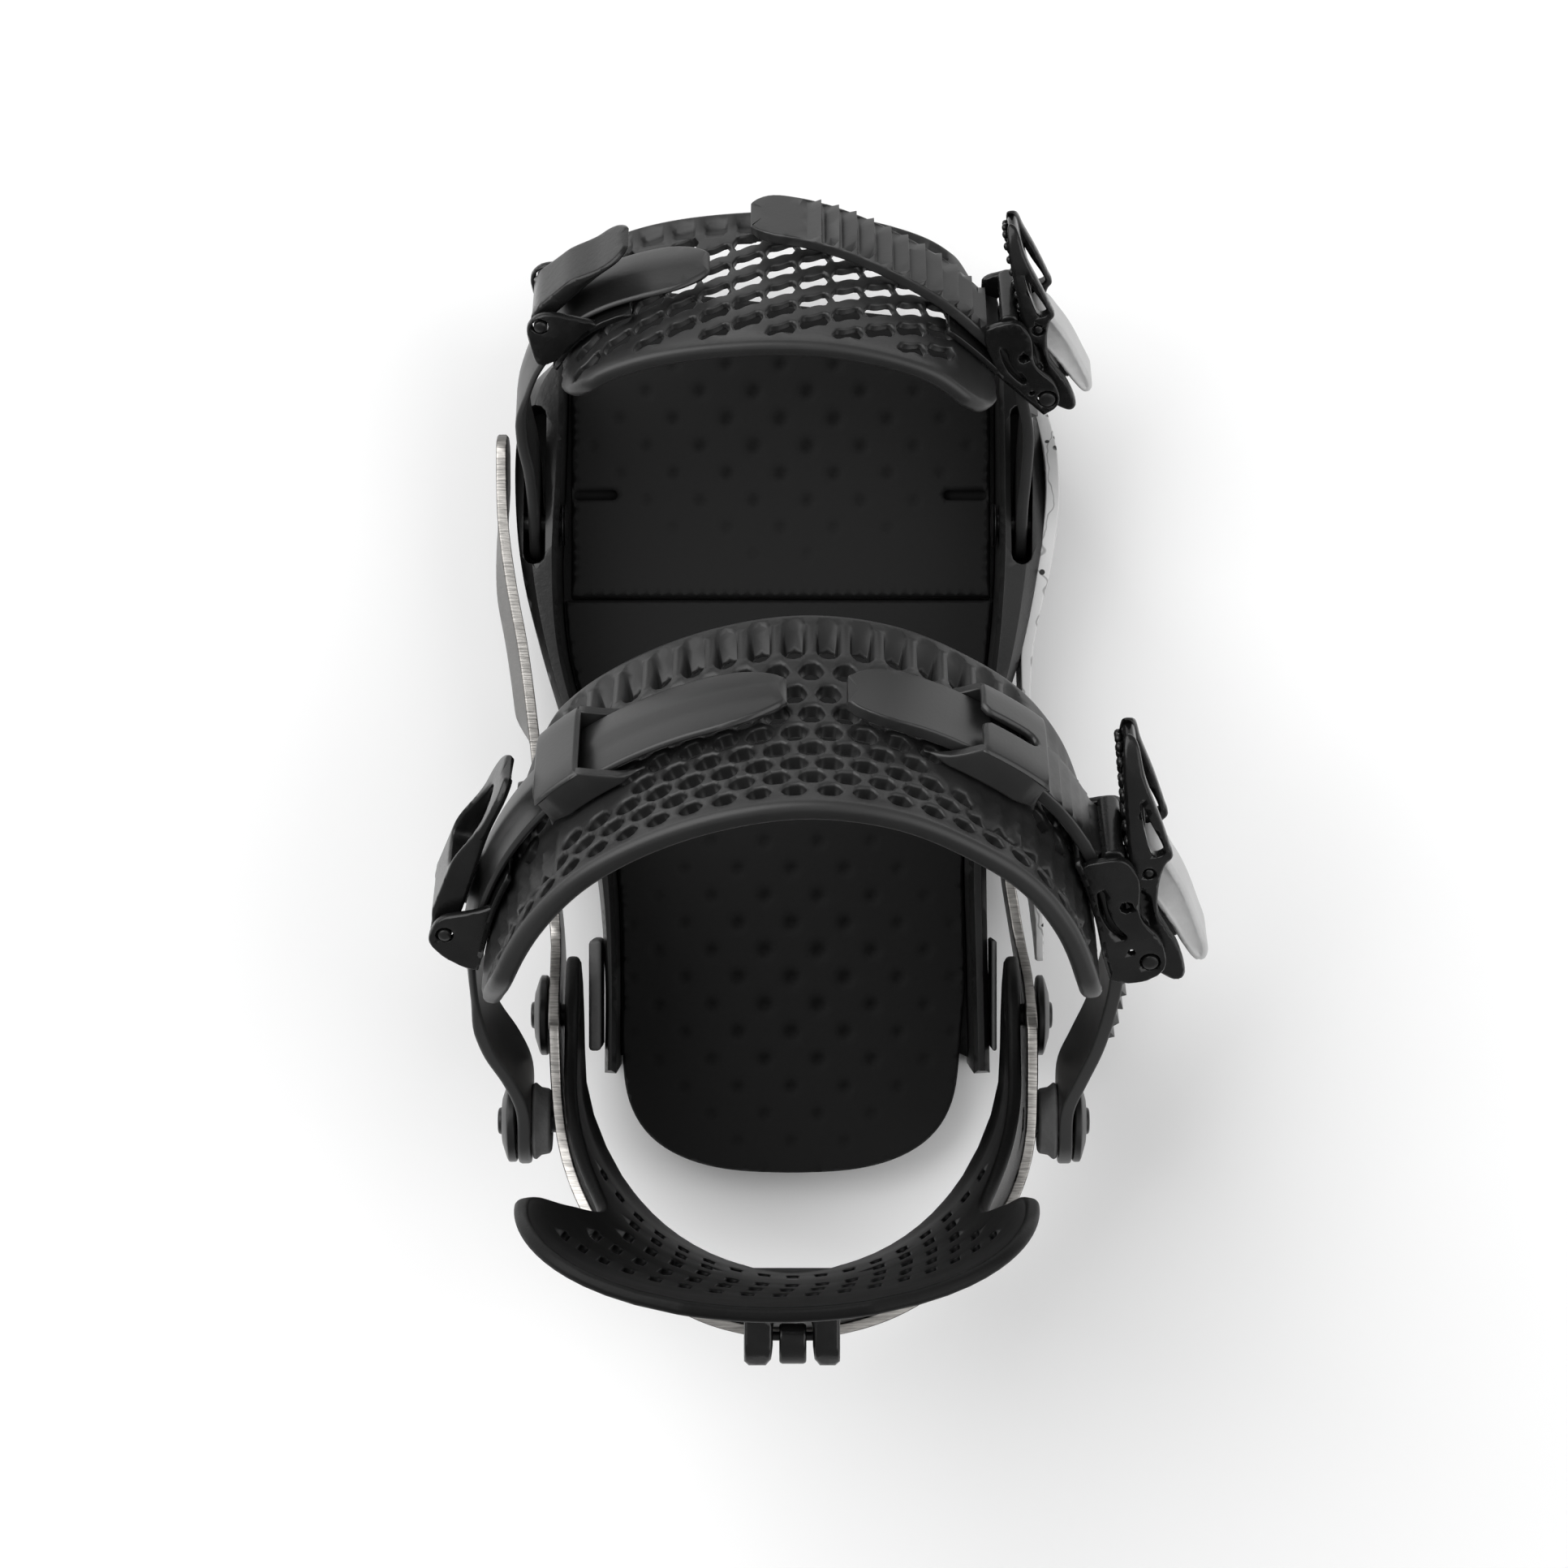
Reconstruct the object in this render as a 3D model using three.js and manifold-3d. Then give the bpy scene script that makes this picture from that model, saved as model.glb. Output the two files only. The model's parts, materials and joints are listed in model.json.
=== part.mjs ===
// Right-foot snowboard binding: baseplate, heel hoop, highback, ankle strap and toe strap.
// Millimetres. Origin: centre of the mounting disc on its bottom face, which lies on the board.
// +Z points up out of the board, +Y to the toe, +X to the outside of the foot, where the ratchets are.
import * as THREE from 'three';
import { mergeVertices } from 'three/addons/utils/BufferGeometryUtils.js';
import Module from 'manifold-3d';

const wasm = await Module();
wasm.setup();

// ---------------------------------------------------------------- driving dimensions
const GAP = 0.3;              // clearance between neighbouring pieces
const FLOOR_TOP = 8;          // top of the baseplate's floor
const FOOTBED_TOP = 18;       // top of the heel pad
const RAIL_TOP = 46;          // top of the side rails over the heel and waist
const RAIL_TOE_TOP = 37;      // top of the side rails at the toe end
const HEEL_END = -105;        // rear edge of the heel pad
const PAD_SPLIT = 49.5;       // line between the heel pad and the toe ramp
const TOE_END = { left: 132, right: 125.5 };  // front edge of the toe ramp, under the big toe and the little toe
const DISC_RADIUS = 43;       // mounting disc's flange
const DISC_HUB_RADIUS = 38;   // mounting disc's hub, in the floor's hole
const DISC_TOP = 6.8;
const SCREW_SPREAD = 20;      // the board's insert pattern is 40 x 40 mm
const HOOP_THICKNESS = 2.8;
const HOOP_SLIDE = 5;         // heel hoop setting, each way
const HOOP_BOLT = { y: -5, z: 33 };
const FOLD_PIVOT = { y: -60, z: 56 };
const HIGHBACK_THICKNESS = 3.4;
const HIGHBACK_BOTTOM = 36;
const HIGHBACK_TOP = 240;
const HEEL_CENTRE_X = 2.2;    // the heel cup sits a little to the outside of the disc's centre
const ANKLE = { y: -87, z: 62, tilt: 35.5, left: -66.7, right: 72.3, half: 11, thick: 3.4 };
const TOE = { y: 68.5, z: 33, tilt: 41, left: -65.6, right: 62.4, half: 9.5, thick: 3 };
const SPREAD = 6.9;           // a strap's middle runs this far outside the middle of its pad
const TOOTH = 1.2;            // height of a ladder's teeth

const colours = {
  black: [0x2b2b2c, 0.55, 0], eva: [0x202021, 0.85, 0], shell: [0x161617, 0.45, 0],
  strap: [0x303032, 0.6, 0], buckle: [0x2a2a2c, 0.35, 0.6], steel: [0x8d8983, 0.35, 1],
  grey: [0xc4c4c6, 0.5, 0], panel: [0xaeaeae, 0.6, 0], screw: [0x3a3a3c, 0.35, 0.9],
};

// ---------------------------------------------------------------- solid helpers
const vec = (x, y, z = 0) => new THREE.Vector3(x, y, z);
const mix = THREE.MathUtils.lerp;
const between = THREE.MathUtils.smoothstep;

function volume(geometry) {
  const p = geometry.attributes.position;
  const index = geometry.index.array;
  const a = vec(0, 0);
  const b = vec(0, 0);
  const c = vec(0, 0);
  let sum = 0;
  for (let i = 0; i < index.length; i += 3) {
    a.fromBufferAttribute(p, index[i]);
    b.fromBufferAttribute(p, index[i + 1]);
    c.fromBufferAttribute(p, index[i + 2]);
    sum += a.dot(b.cross(c));
  }
  return sum / 6;
}

// Welds a geometry's shared corners and turns its faces outwards.
function closed(geometry) {
  const bare = geometry.clone();
  bare.deleteAttribute('normal');
  bare.deleteAttribute('uv');
  const welded = mergeVertices(bare, 1e-4);
  if (volume(welded) < 0) {
    welded.index.array.reverse();
  }
  return welded;
}

function solid(geometry) {
  const welded = closed(geometry);
  const vertProperties = new Float32Array(welded.attributes.position.array);
  const triVerts = new Uint32Array(welded.index.array);
  return new wasm.Manifold(new wasm.Mesh({ numProp: 3, vertProperties, triVerts }));
}

function surface(body) {
  const mesh = body.getMesh();
  const geometry = new THREE.BufferGeometry();
  geometry.setAttribute('position', new THREE.BufferAttribute(mesh.vertProperties, 3));
  geometry.setIndex(new THREE.BufferAttribute(mesh.triVerts, 1));
  return geometry;
}

function cut(geometry, ...tools) {
  return surface(tools.reduce((body, tool) => body.subtract(solid(tool)), solid(geometry)));
}

function join(geometry, ...others) {
  return surface(others.reduce((body, other) => body.add(solid(other)), solid(geometry)));
}

function prism(outline, low, high) {
  const shape = new THREE.Shape(outline.map(([x, y]) => new THREE.Vector2(x, y)));
  const geometry = new THREE.ExtrudeGeometry(shape, { depth: high - low, bevelEnabled: false });
  return geometry.translate(0, 0, low);
}

// A prism whose outline is drawn in the Y-Z plane and which runs along X.
function prismX(outline, low, high) {
  const geometry = prism(outline, low, high);
  const turn = new THREE.Matrix4().makeBasis(vec(0, 1, 0), vec(0, 0, 1), vec(1, 0, 0));
  return geometry.applyMatrix4(turn);
}

function box(low, high) {
  const [x, y, z] = [0, 1, 2].map((k) => high[k] - low[k]);
  const geometry = new THREE.BoxGeometry(x, y, z);
  return geometry.translate(low[0] + x / 2, low[1] + y / 2, low[2] + z / 2);
}

function rodX(radius, low, high, y, z, sides = 16) {
  const geometry = new THREE.CylinderGeometry(radius, radius, high - low, sides);
  return geometry.rotateZ(Math.PI / 2).translate((low + high) / 2, y, z);
}

function rodZ(radius, low, high, x, y, sides = 16) {
  const geometry = new THREE.CylinderGeometry(radius, radius, high - low, sides);
  return geometry.rotateX(Math.PI / 2).translate(x, y, (low + high) / 2);
}

// A turned piece on an axis along X: its profile is a list of [radius, x].
function turnedX(profile, y, z, sides = 24) {
  const points = profile.map(([radius, x]) => new THREE.Vector2(radius, x));
  return new THREE.LatheGeometry(points, sides).rotateZ(-Math.PI / 2).translate(0, y, z);
}

const pill = (x0, x1, y, r, steps = 4) => {
  const arc = (cx, from) => Array.from({ length: steps + 1 }, (_, i) => {
    const angle = from + (Math.PI * i) / steps;
    return [cx + r * Math.cos(angle), y + r * Math.sin(angle)];
  });
  return [...arc(x1 - r, -Math.PI / 2), ...arc(x0 + r, Math.PI / 2)];
};

// Covers a row of rings with one skin. A cap is a fan, or a strip when the ring is a sheet's two rows.
function skin(rings, sheetCaps = false) {
  const n = rings[0].length;
  const index = [];
  for (let i = 0; i + 1 < rings.length; i += 1) {
    for (let j = 0; j < n; j += 1) {
      const k = (j + 1) % n;
      const [a, b, c, d] = [i * n + j, i * n + k, (i + 1) * n + k, (i + 1) * n + j];
      index.push(a, b, c, a, c, d);
    }
  }
  const half = n / 2;
  const fan = Array.from({ length: n - 2 }, (_, j) => [0, j + 1, j + 2]);
  const strip = Array.from({ length: half - 1 }, (_, j) => [
    [j, j + 1, n - 2 - j], [j, n - 2 - j, n - 1 - j],
  ]).flat();
  const last = (rings.length - 1) * n;
  for (const [a, b, c] of sheetCaps ? strip : fan) {
    index.push(a, c, b, last + a, last + b, last + c);
  }
  const geometry = new THREE.BufferGeometry().setFromPoints(rings.flat());
  geometry.setIndex(index);
  return geometry;
}

// A sheet of even thickness on either side of the surface point(u, v), with u and v from 0 to 1.
function sheet(point, uSteps, vSteps, thickness) {
  const step = 0.004;
  const rings = [];
  for (let i = 0; i <= uSteps; i += 1) {
    const outer = [];
    const inner = [];
    for (let j = 0; j <= vSteps; j += 1) {
      const [u, v] = [i / uSteps, j / vSteps];
      const along = point(Math.min(u + step, 1), v).sub(point(Math.max(u - step, 0), v));
      const across = point(u, Math.min(v + step, 1)).sub(point(u, Math.max(v - step, 0)));
      const offset = along.cross(across).setLength(thickness / 2);
      outer.push(point(u, v).add(offset));
      inner.unshift(point(u, v).sub(offset));
    }
    rings.push([...outer, ...inner]);
  }
  return skin(rings, true);
}

function curveThrough(points) {
  return new THREE.CatmullRomCurve3(points.map(([x, y]) => vec(x, y)), false, 'centripetal');
}

function sideNormal(path, t) {
  const tangent = path.getTangentAt(t);
  return vec(-tangent.y, tangent.x);
}

// A moulded strap whose middle line follows a path in the X-Y plane, with its width along Z.
// low, high, inner and outer are functions of the place along the path, from 0 to 1.
function strap({ path, stops, low, high, inner, outer, chamfer = 0.5 }) {
  const rings = stops.map((t) => {
    const middle = path.getPointAt(t);
    const normal = sideNormal(path, t);
    const [a, b, p, q] = [inner(t), outer(t), low(t), high(t)];
    const c = chamfer;
    const corners = [
      [a, p + c], [a, q - c], [a + c, q], [b - c, q], [b, q - c], [b, p + c], [b - c, p], [a + c, p],
    ];
    return corners.map(([out, w]) => middle.clone().addScaledVector(normal, out).setZ(w));
  });
  return skin(rings);
}

const evenStops = (count, from = 0, to = 1) =>
  Array.from({ length: count + 1 }, (_, i) => mix(from, to, i / count));

// ---------------------------------------------------------------- assembly
const binding = new THREE.Group();
const ankleFrame = new THREE.Group();
const toeFrame = new THREE.Group();
ankleFrame.position.set(0, ANKLE.y, ANKLE.z);
ankleFrame.rotation.x = THREE.MathUtils.degToRad(ANKLE.tilt);
toeFrame.position.set(0, TOE.y, TOE.z);
toeFrame.rotation.x = THREE.MathUtils.degToRad(TOE.tilt);
binding.add(ankleFrame, toeFrame);

function put(name, geometry, look, parent = binding) {
  const [color, roughness, metalness] = colours[look];
  const material = new THREE.MeshStandardMaterial({ color, roughness, metalness });
  const mesh = new THREE.Mesh(closed(geometry), material);
  mesh.name = name;
  parent.add(mesh);
}

// ---------------------------------------------------------------- baseplate outlines, [x, y]
const leftRail = {
  outer: [[-60, 113], [-68, 104], [-70.6, 92], [-70.8, 74], [-68.6, 54], [-64, 35], [-55.5, 6], [-49.5, -22],
    [-47.2, -48], [-47.2, -76]],
  inner: [[-58, 113], [-58.2, 100], [-58.8, 80], [-59.6, 56], [-58, 35], [-50.5, 6], [-45.4, -20],
    [-44, -44], [-44, -76]],
};
const rightRail = {
  outer: [[58.5, 113], [64.5, 104], [68, 92], [68.9, 74], [66.8, 56], [62.6, 35], [55.2, 10], [53.4, -14],
    [53.6, -44], [54.2, -76]],
  inner: [[56.6, 113], [56.7, 100], [56.8, 80], [56.6, 56], [55, 35], [51.5, 8], [48.6, -16], [49, -44],
    [49.8, -76]],
};
const smooth = (points, count) => curveThrough(points).getPoints(count).map((p) => [p.x, p.y]);
const railOutline = (rail) => [...smooth(rail.outer, 15), ...smooth(rail.inner, 12).reverse()];

function heelArc(inset, steps = 14) {
  const [left, right] = [-44 + inset, 47.6 - inset];
  const middle = (left + right) / 2;
  const depth = -HEEL_END - 72 - inset;
  return Array.from({ length: steps + 1 }, (_, i) => {
    const angle = Math.PI * (1 - i / steps);
    const squareness = 0.72;
    const x = Math.sign(Math.cos(angle)) * Math.abs(Math.cos(angle)) ** squareness;
    const y = Math.abs(Math.sin(angle)) ** squareness;
    return [middle + (x * (right - left)) / 2, -72 - y * depth];
  });
}

// ---------------------------------------------------------------- baseplate
function chassis() {
  const left = smooth(leftRail.outer, 15);
  const right = smooth(rightRail.outer, 15).reverse();
  const floor = prism([...left, ...heelArc(2), ...right], 0, FLOOR_TOP);
  const rails = [leftRail, rightRail].map((rail) => prism(railOutline(rail), 1, RAIL_TOP));
  const bosses = [
    rodX(8.5, -60.4, -52, HOOP_BOLT.y, HOOP_BOLT.z),
    rodX(8.5, 51.5, 55.4, HOOP_BOLT.y, HOOP_BOLT.z),
  ];
  const toeFall = prismX([[62, RAIL_TOP], [120, RAIL_TOE_TOP - 3], [120, 80], [62, 80]], -90, 90);
  const slots = [
    prism(pill(57.6, 100, 0, 3), -1, 60).rotateZ(Math.PI / 2).translate(TOE.left, 0, 0),
    prism(pill(57.6, 100, 0, 2.8), -1, 60).rotateZ(Math.PI / 2).translate(TOE.right, 0, 0),
  ];
  const discHole = rodZ(DISC_HUB_RADIUS + 0.5, -1, 20, 0, 0, 36);
  const discSeat = rodZ(DISC_RADIUS + 0.5, 3.2, 20, 0, 0, 36);
  const boltHoles = rodX(3.3, -90, 90, HOOP_BOLT.y, HOOP_BOLT.z);
  const anchorHoles = rodX(3.3, -90, 90, TOE.y, TOE.z);
  const body = join(floor, ...rails, ...bosses);
  return cut(body, toeFall, ...slots, discHole, discSeat, boltHoles, anchorHoles);
}

function heelPad() {
  const inset = 0.6;
  const left = smooth(leftRail.inner, 12).filter(([, y]) => y < PAD_SPLIT && y > -70);
  const right = smooth(rightRail.inner, 12).filter(([, y]) => y < PAD_SPLIT && y > -70);
  const outline = [
    [-58.4 + inset, PAD_SPLIT - GAP], ...left.map(([x, y]) => [x + inset, y]), ...heelArc(0.5),
    ...right.reverse().map(([x, y]) => [x - inset, y]), [56 - inset, PAD_SPLIT - GAP],
  ];
  return prism(outline, FLOOR_TOP + GAP, FOOTBED_TOP);
}

function toeOutline(inset, back) {
  const [left, right, corner] = [-57.4 + inset, 55.6 - inset, 24];
  const arc = (cx, front, from) => evenStops(6).map((t) => {
    const angle = from + (t * Math.PI) / 2;
    return [cx + corner * Math.cos(angle), front - back - corner + corner * Math.sin(angle)];
  });
  const rear = PAD_SPLIT + GAP + inset;
  return [[left, rear], [right, rear], ...arc(right - corner, TOE_END.right, 0),
    ...arc(left + corner, TOE_END.left, Math.PI / 2)];
}

function mountingDisc() {
  const profile = [[0, 0], [DISC_HUB_RADIUS, 0], [DISC_HUB_RADIUS, 3.6], [DISC_RADIUS, 3.6],
    [DISC_RADIUS, DISC_TOP], [0, DISC_TOP]];
  const points = profile.map(([r, z]) => new THREE.Vector2(r, z));
  const disc = new THREE.LatheGeometry(points, 36).rotateX(Math.PI / 2);
  const holes = [];
  for (const x of [-SCREW_SPREAD, SCREW_SPREAD]) {
    for (const y of [-SCREW_SPREAD, SCREW_SPREAD]) {
      holes.push(prism(pill(x - 7, x + 7, y, 3.3), -1, 20));
      holes.push(prism(pill(x - 11, x + 11, y, 7.2), 3, 20));
    }
  }
  return cut(disc, ...holes);
}

function sidePanel() {
  const path = curveThrough([[68.4, 100], [70.5, 90], [71.3, 76], [69.5, 59], [66.4, 46], [64.4, 35],
    [63.6, 18], [63.6, -2], [65.2, -20], [67.2, -36], [67.9, -47]]);
  const point = (u, v) => {
    const p = path.getPointAt(u);
    const end = between(u, 0, 0.1) * (1 - between(u, 0.9, 1));
    return p.setZ(mix(mix(24, 13, end), mix(30, 40, end), v));
  };
  return sheet(point, 20, 1, 2);
}

// A strap's anchor bolt: its head is on the footbed side of the rail.
function anchorBolt(head, end) {
  const inward = Math.sign(head - end);
  const profile = [[0, end], [3, end], [3, head], [5.6, head], [5.6, head + inward * 1.4],
    [4.4, head + inward * 2.2], [0, head + inward * 2.2]];
  return turnedX(profile, TOE.y, TOE.z, 14);
}

// A hoop bolt, with its head outside the hoop.
function hoopBolt(end, head, top) {
  const profile = [[0, end], [3, end], [3, head], [6.5, head], [5.6, top], [0, top]];
  return turnedX(profile, HOOP_BOLT.y, HOOP_BOLT.z, 14);
}

put('chassis', chassis(), 'black');
put('heel_pad', heelPad(), 'eva');
put('side_panel', sidePanel(), 'panel');
put('heel_spacer_left', box([-51.2, -70, FLOOR_TOP + 12], [-48, -41, RAIL_TOP - 1]), 'black');
put('heel_spacer_right', box([54.6, -70, FLOOR_TOP + 12], [55.8, -41, RAIL_TOP - 1]), 'black');
put('mounting_disc', mountingDisc(), 'screw');
put('toe_ramp', prism(toeOutline(0, 1), FLOOR_TOP + GAP, 12), 'black');
put('toe_pad', prism(toeOutline(0.4, 0), 12 + GAP, FOOTBED_TOP + 1), 'eva');
put('toe_bolt_left', anchorBolt(-58.8, -70.2), 'screw');
put('toe_bolt_right', anchorBolt(56.2, 68.2), 'screw');
put('hoop_bolt_left', hoopBolt(-54, -67, -70.4), 'screw');
put('hoop_bolt_right', hoopBolt(51.6, 60.5, 62.3), 'screw');

// ---------------------------------------------------------------- heel hoop
const hoopPath = curveThrough([
  [-74.1, 92], [-73.7, 70], [-71.5, 53], [-68.4, 36], [-66, 18], [-62.7, -15], [-59.8, -39], [-58.9, -62],
  [-58, -80], [-56.6, -91], [-54, -100], [-49, -110], [-38, -123.5], [-20, -135], [2.2, -139],
  [24.4, -135], [43, -124], [55.5, -110], [60.6, -100], [62.8, -91], [63.5, -79], [63.5, -62],
  [63, -50], [61, -37], [59, -24], [58.2, -10], [58.3, 6.5],
]);

function heelHoop() {
  const point = (u, v) => {
    const p = hoopPath.getPointAt(u);
    const back = 1 - between(p.y, -126, -96);
    const low = mix(mix(26, 29, between(p.y, 0, 80)), 61, back);
    const ear = 1 - between(p.y, -64, -36);
    const high = mix(mix(46, 74, ear), 86, 1 - between(p.y, -122, -88));
    const lean = p.x < 0 ? 4.2 * (1 - between(p.y, 45, 80)) * between(p.y, 7, 19) : 0;
    return p.setX(p.x - lean * (1 - v)).setZ(mix(low, high, v));
  };
  const reach = HOOP_SLIDE + 3.4;
  const slot = prismX(pill(HOOP_BOLT.y - reach, HOOP_BOLT.y + reach, HOOP_BOLT.z, 3.4), -90, 90);
  const foldHoles = rodX(3.3, -90, 90, FOLD_PIVOT.y, FOLD_PIVOT.z);
  const ankleHoles = rodX(3.3, -90, 90, ANKLE.y, ANKLE.z);
  return cut(sheet(point, 54, 2, HOOP_THICKNESS), slot, foldHoles, ankleHoles);
}

// A domed bolt: its shank ends at end, its head runs from head to top.
function domedBolt(end, head, top, radius, at) {
  const rim = mix(head, top, 0.55);
  const profile = [[0, end], [3, end], [3, head], [radius, head], [radius, rim], [radius - 1.6, mix(rim, top, 0.7)],
    [radius - 3.6, top], [0, top]];
  return turnedX(profile, at.y, at.z, 18);
}

function spacer(low, high) {
  const ring = [[3.3, low], [8.4, low], [8.4, high], [3.3, high], [3.3, low]];
  return turnedX(ring, ANKLE.y, ANKLE.z, 18);
}

put('heel_hoop', heelHoop(), 'steel');
put('fold_bolt_left', domedBolt(-53.3, -60.9, -65.6, 10.4, FOLD_PIVOT), 'screw');
put('fold_bolt_right', domedBolt(57.7, 65.3, 69.6, 10.4, FOLD_PIVOT), 'screw');
put('ankle_spacer_left', spacer(-64.7, -59.9), 'black');
put('ankle_spacer_right', spacer(65.3, 70.3), 'black');
put('ankle_bolt_left', domedBolt(-56.4, -68.7, -73.8, 10.6, ANKLE), 'screw');
put('ankle_bolt_right', domedBolt(62.2, 74.3, 78.8, 10.6, ANKLE), 'screw');

// ---------------------------------------------------------------- highback
const backLine = (z) => -130.7 + (z - 30) * 0.071;
const backCentre = (z) => mix(HEEL_CENTRE_X, -1.6, between(z, 110, 200));
const backWidth = (z) => 54.2 + 2.6 * between(z, 36, 54) + 1.4 * between(z, 110, 200);
const backDepth = (z) => mix(54.7, 25, between(z, 50, 210));

function highback() {
  const point = (u, v) => {
    const z = mix(HIGHBACK_BOTTOM - 2, HIGHBACK_TOP + 2, v);
    const q = mix(-1.55, 1.55, u);
    const turn = (Math.min(Math.abs(q), 1) * Math.PI) / 2;
    const forward = Math.max(Math.abs(q) - 1, 0) * 70;
    const x = backCentre(z) + Math.sign(q) * backWidth(z) * Math.sin(turn);
    return vec(x, backLine(z) + backDepth(z) * (1 - Math.cos(turn)) + forward, z);
  };
  const side = curveThrough([[-46, 50], [-45, 60], [-53, 68], [-70, 73], [-88, 84], [-102, 102], [-105, 122],
    [-101, 150], [-96, 178], [-95, 200], [-99, 219], [-107, 233], [-114, HIGHBACK_TOP]]);
  const front = side.getPoints(22).map((p) => [p.x, p.y]);
  const outline = [...front, [-140, HIGHBACK_TOP], [-140, HIGHBACK_BOTTOM], [-112, HIGHBACK_BOTTOM],
    [-96, 39], [-78, 44.5], [-60, 46.5]];
  const wide = solid(sheet(point, 30, 8, HIGHBACK_THICKNESS));
  const shell = surface(wide.intersect(solid(prismX(outline, -80, 80))));
  const pivots = rodX(3.3, -90, 90, FOLD_PIVOT.y, FOLD_PIVOT.z);
  const screwHole = rodZ(2.5, 110, 150, 0, 0).rotateX(Math.PI / 2).translate(HEEL_CENTRE_X, 0, 95);
  return cut(shell, pivots, screwHole);
}

const LEAN = { low: -10, high: 14, rear: -145.4, front: -128.6, base: 86.4, top: 103, pinY: -138, pinZ: 98.5 };

function leanBlock() {
  const { low, high, rear, front, base, top, pinY, pinZ } = LEAN;
  const block = prismX([[front, base], [rear, base], [rear, top - 7], [rear + 4, top], [front, top]], low, high);
  const channel = box([-2.8, rear - 1, base + 5], [7.2, -132, top + 1]);
  const pinHole = rodX(1.5, -6.5, 10.5, pinY, pinZ, 14);
  const screwHole = rodZ(2.5, -front - 1, 131.6, 0, 0).rotateX(Math.PI / 2).translate(HEEL_CENTRE_X, 0, 95);
  return cut(block, channel, pinHole, screwHole);
}

function leanLever() {
  const outline = [[-134.2, 97], [-135, 95], [-145, 94.4], [-145.2, 97.6], [-141, 102.2], [-136.5, 102.6],
    [-134.4, 101]];
  return cut(prismX(outline, -2.4, 6.8), rodX(1.5, -10, 14, LEAN.pinY, LEAN.pinZ, 14));
}

put('highback', highback(), 'shell');
put('lean_block', leanBlock(), 'buckle');
put('lean_pin', rodX(1.2, -6, 10, LEAN.pinY, LEAN.pinZ, 14), 'screw');
put('lean_lever', leanLever(), 'buckle');
put('lean_screw', rodZ(2.2, 124.4, 131.2, 0, 0).rotateX(Math.PI / 2).translate(HEEL_CENTRE_X, 0, 95), 'screw');

// ---------------------------------------------------------------- straps
// In a strap's own frame X is the binding's X, Y runs from the pivots to the top of the loop,
// and Z runs along the strap's width towards the heel.
const anklePath = curveThrough([[-72, 62], [-67.5, 78], [-60, 93], [-48, 107], [-30, 118.5], [-10, 125.5],
  [8, 127.5], [28, 124], [45, 115.5], [58, 105.5], [67.5, 92], [73, 77], [76, 63]]);
const toePath = curveThrough([[-55, 57], [-51, 64], [-46, 68.5], [-38, 72.2], [-28, 75], [-14, 77], [0, 77.6],
  [14, 76.5], [28, 73], [38, 68.5], [46, 61.5], [53, 54]]);

function beside(path, from, to, count) {
  return evenStops(count, from, to).map((t) => {
    const p = path.getPointAt(t).addScaledVector(sideNormal(path, t), SPREAD);
    return [p.x, p.y];
  });
}

const flat = (value) => () => value;
const roundEnd = (t, start) => Math.sqrt(Math.max(1 - ((t - start) / (1 - start)) ** 2, 0.16));

function anklePad() {
  const low = (t) => mix(8, -41, between(t, 0, 0.2)) + 17 * between(t, 0.93, 1);
  const high = (t) => mix(33, 41, between(t, 0, 0.08)) - 5 * between(t, 0.93, 1);
  const stops = [0, 0.02, 0.05, 0.08, 0.12, 0.16, ...evenStops(15, 0.2, 0.92), 0.95, 0.975, 1];
  return strap({ path: anklePath, stops, low, high, inner: flat(-2.7), outer: flat(2.7), chamfer: 1 });
}

function toePad() {
  const low = (t) => mix(-14, -30, between(t, 0, 0.16)) + 12 * between(t, 0.88, 1);
  const high = (t) => mix(24, 30, between(t, 0, 0.1)) - 4 * between(t, 0.9, 1);
  const stops = [0, 0.03, 0.07, 0.11, ...evenStops(14, 0.16, 0.88), 0.92, 0.96, 1];
  return strap({ path: toePath, stops, low, high, inner: flat(-2.2), outer: flat(2.2), chamfer: 0.8 });
}

function eye(x, spec) {
  return rodX(spec.half, x - spec.thick / 2, x + spec.thick / 2, 0, 0, 24);
}

// The plain strap on the inner side of the foot, from its pivot through the adjuster to its tongue.
function mountStrap(spec, tail, over) {
  const path = curveThrough([...tail, ...over]);
  const half = (t) => spec.half * (t > 0.93 ? roundEnd(t, 0.93) : 1);
  const stops = [...evenStops(18, 0, 0.93), 0.955, 0.98, 0.994, 1];
  const body = strap({ path, stops, low: (t) => -half(t), high: half, inner: flat(-spec.thick / 2),
    outer: flat(spec.thick / 2) });
  return cut(join(body, eye(spec.left, spec)), rodX(3.3, spec.left - 9, spec.left + 9, 0, 0));
}

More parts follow.
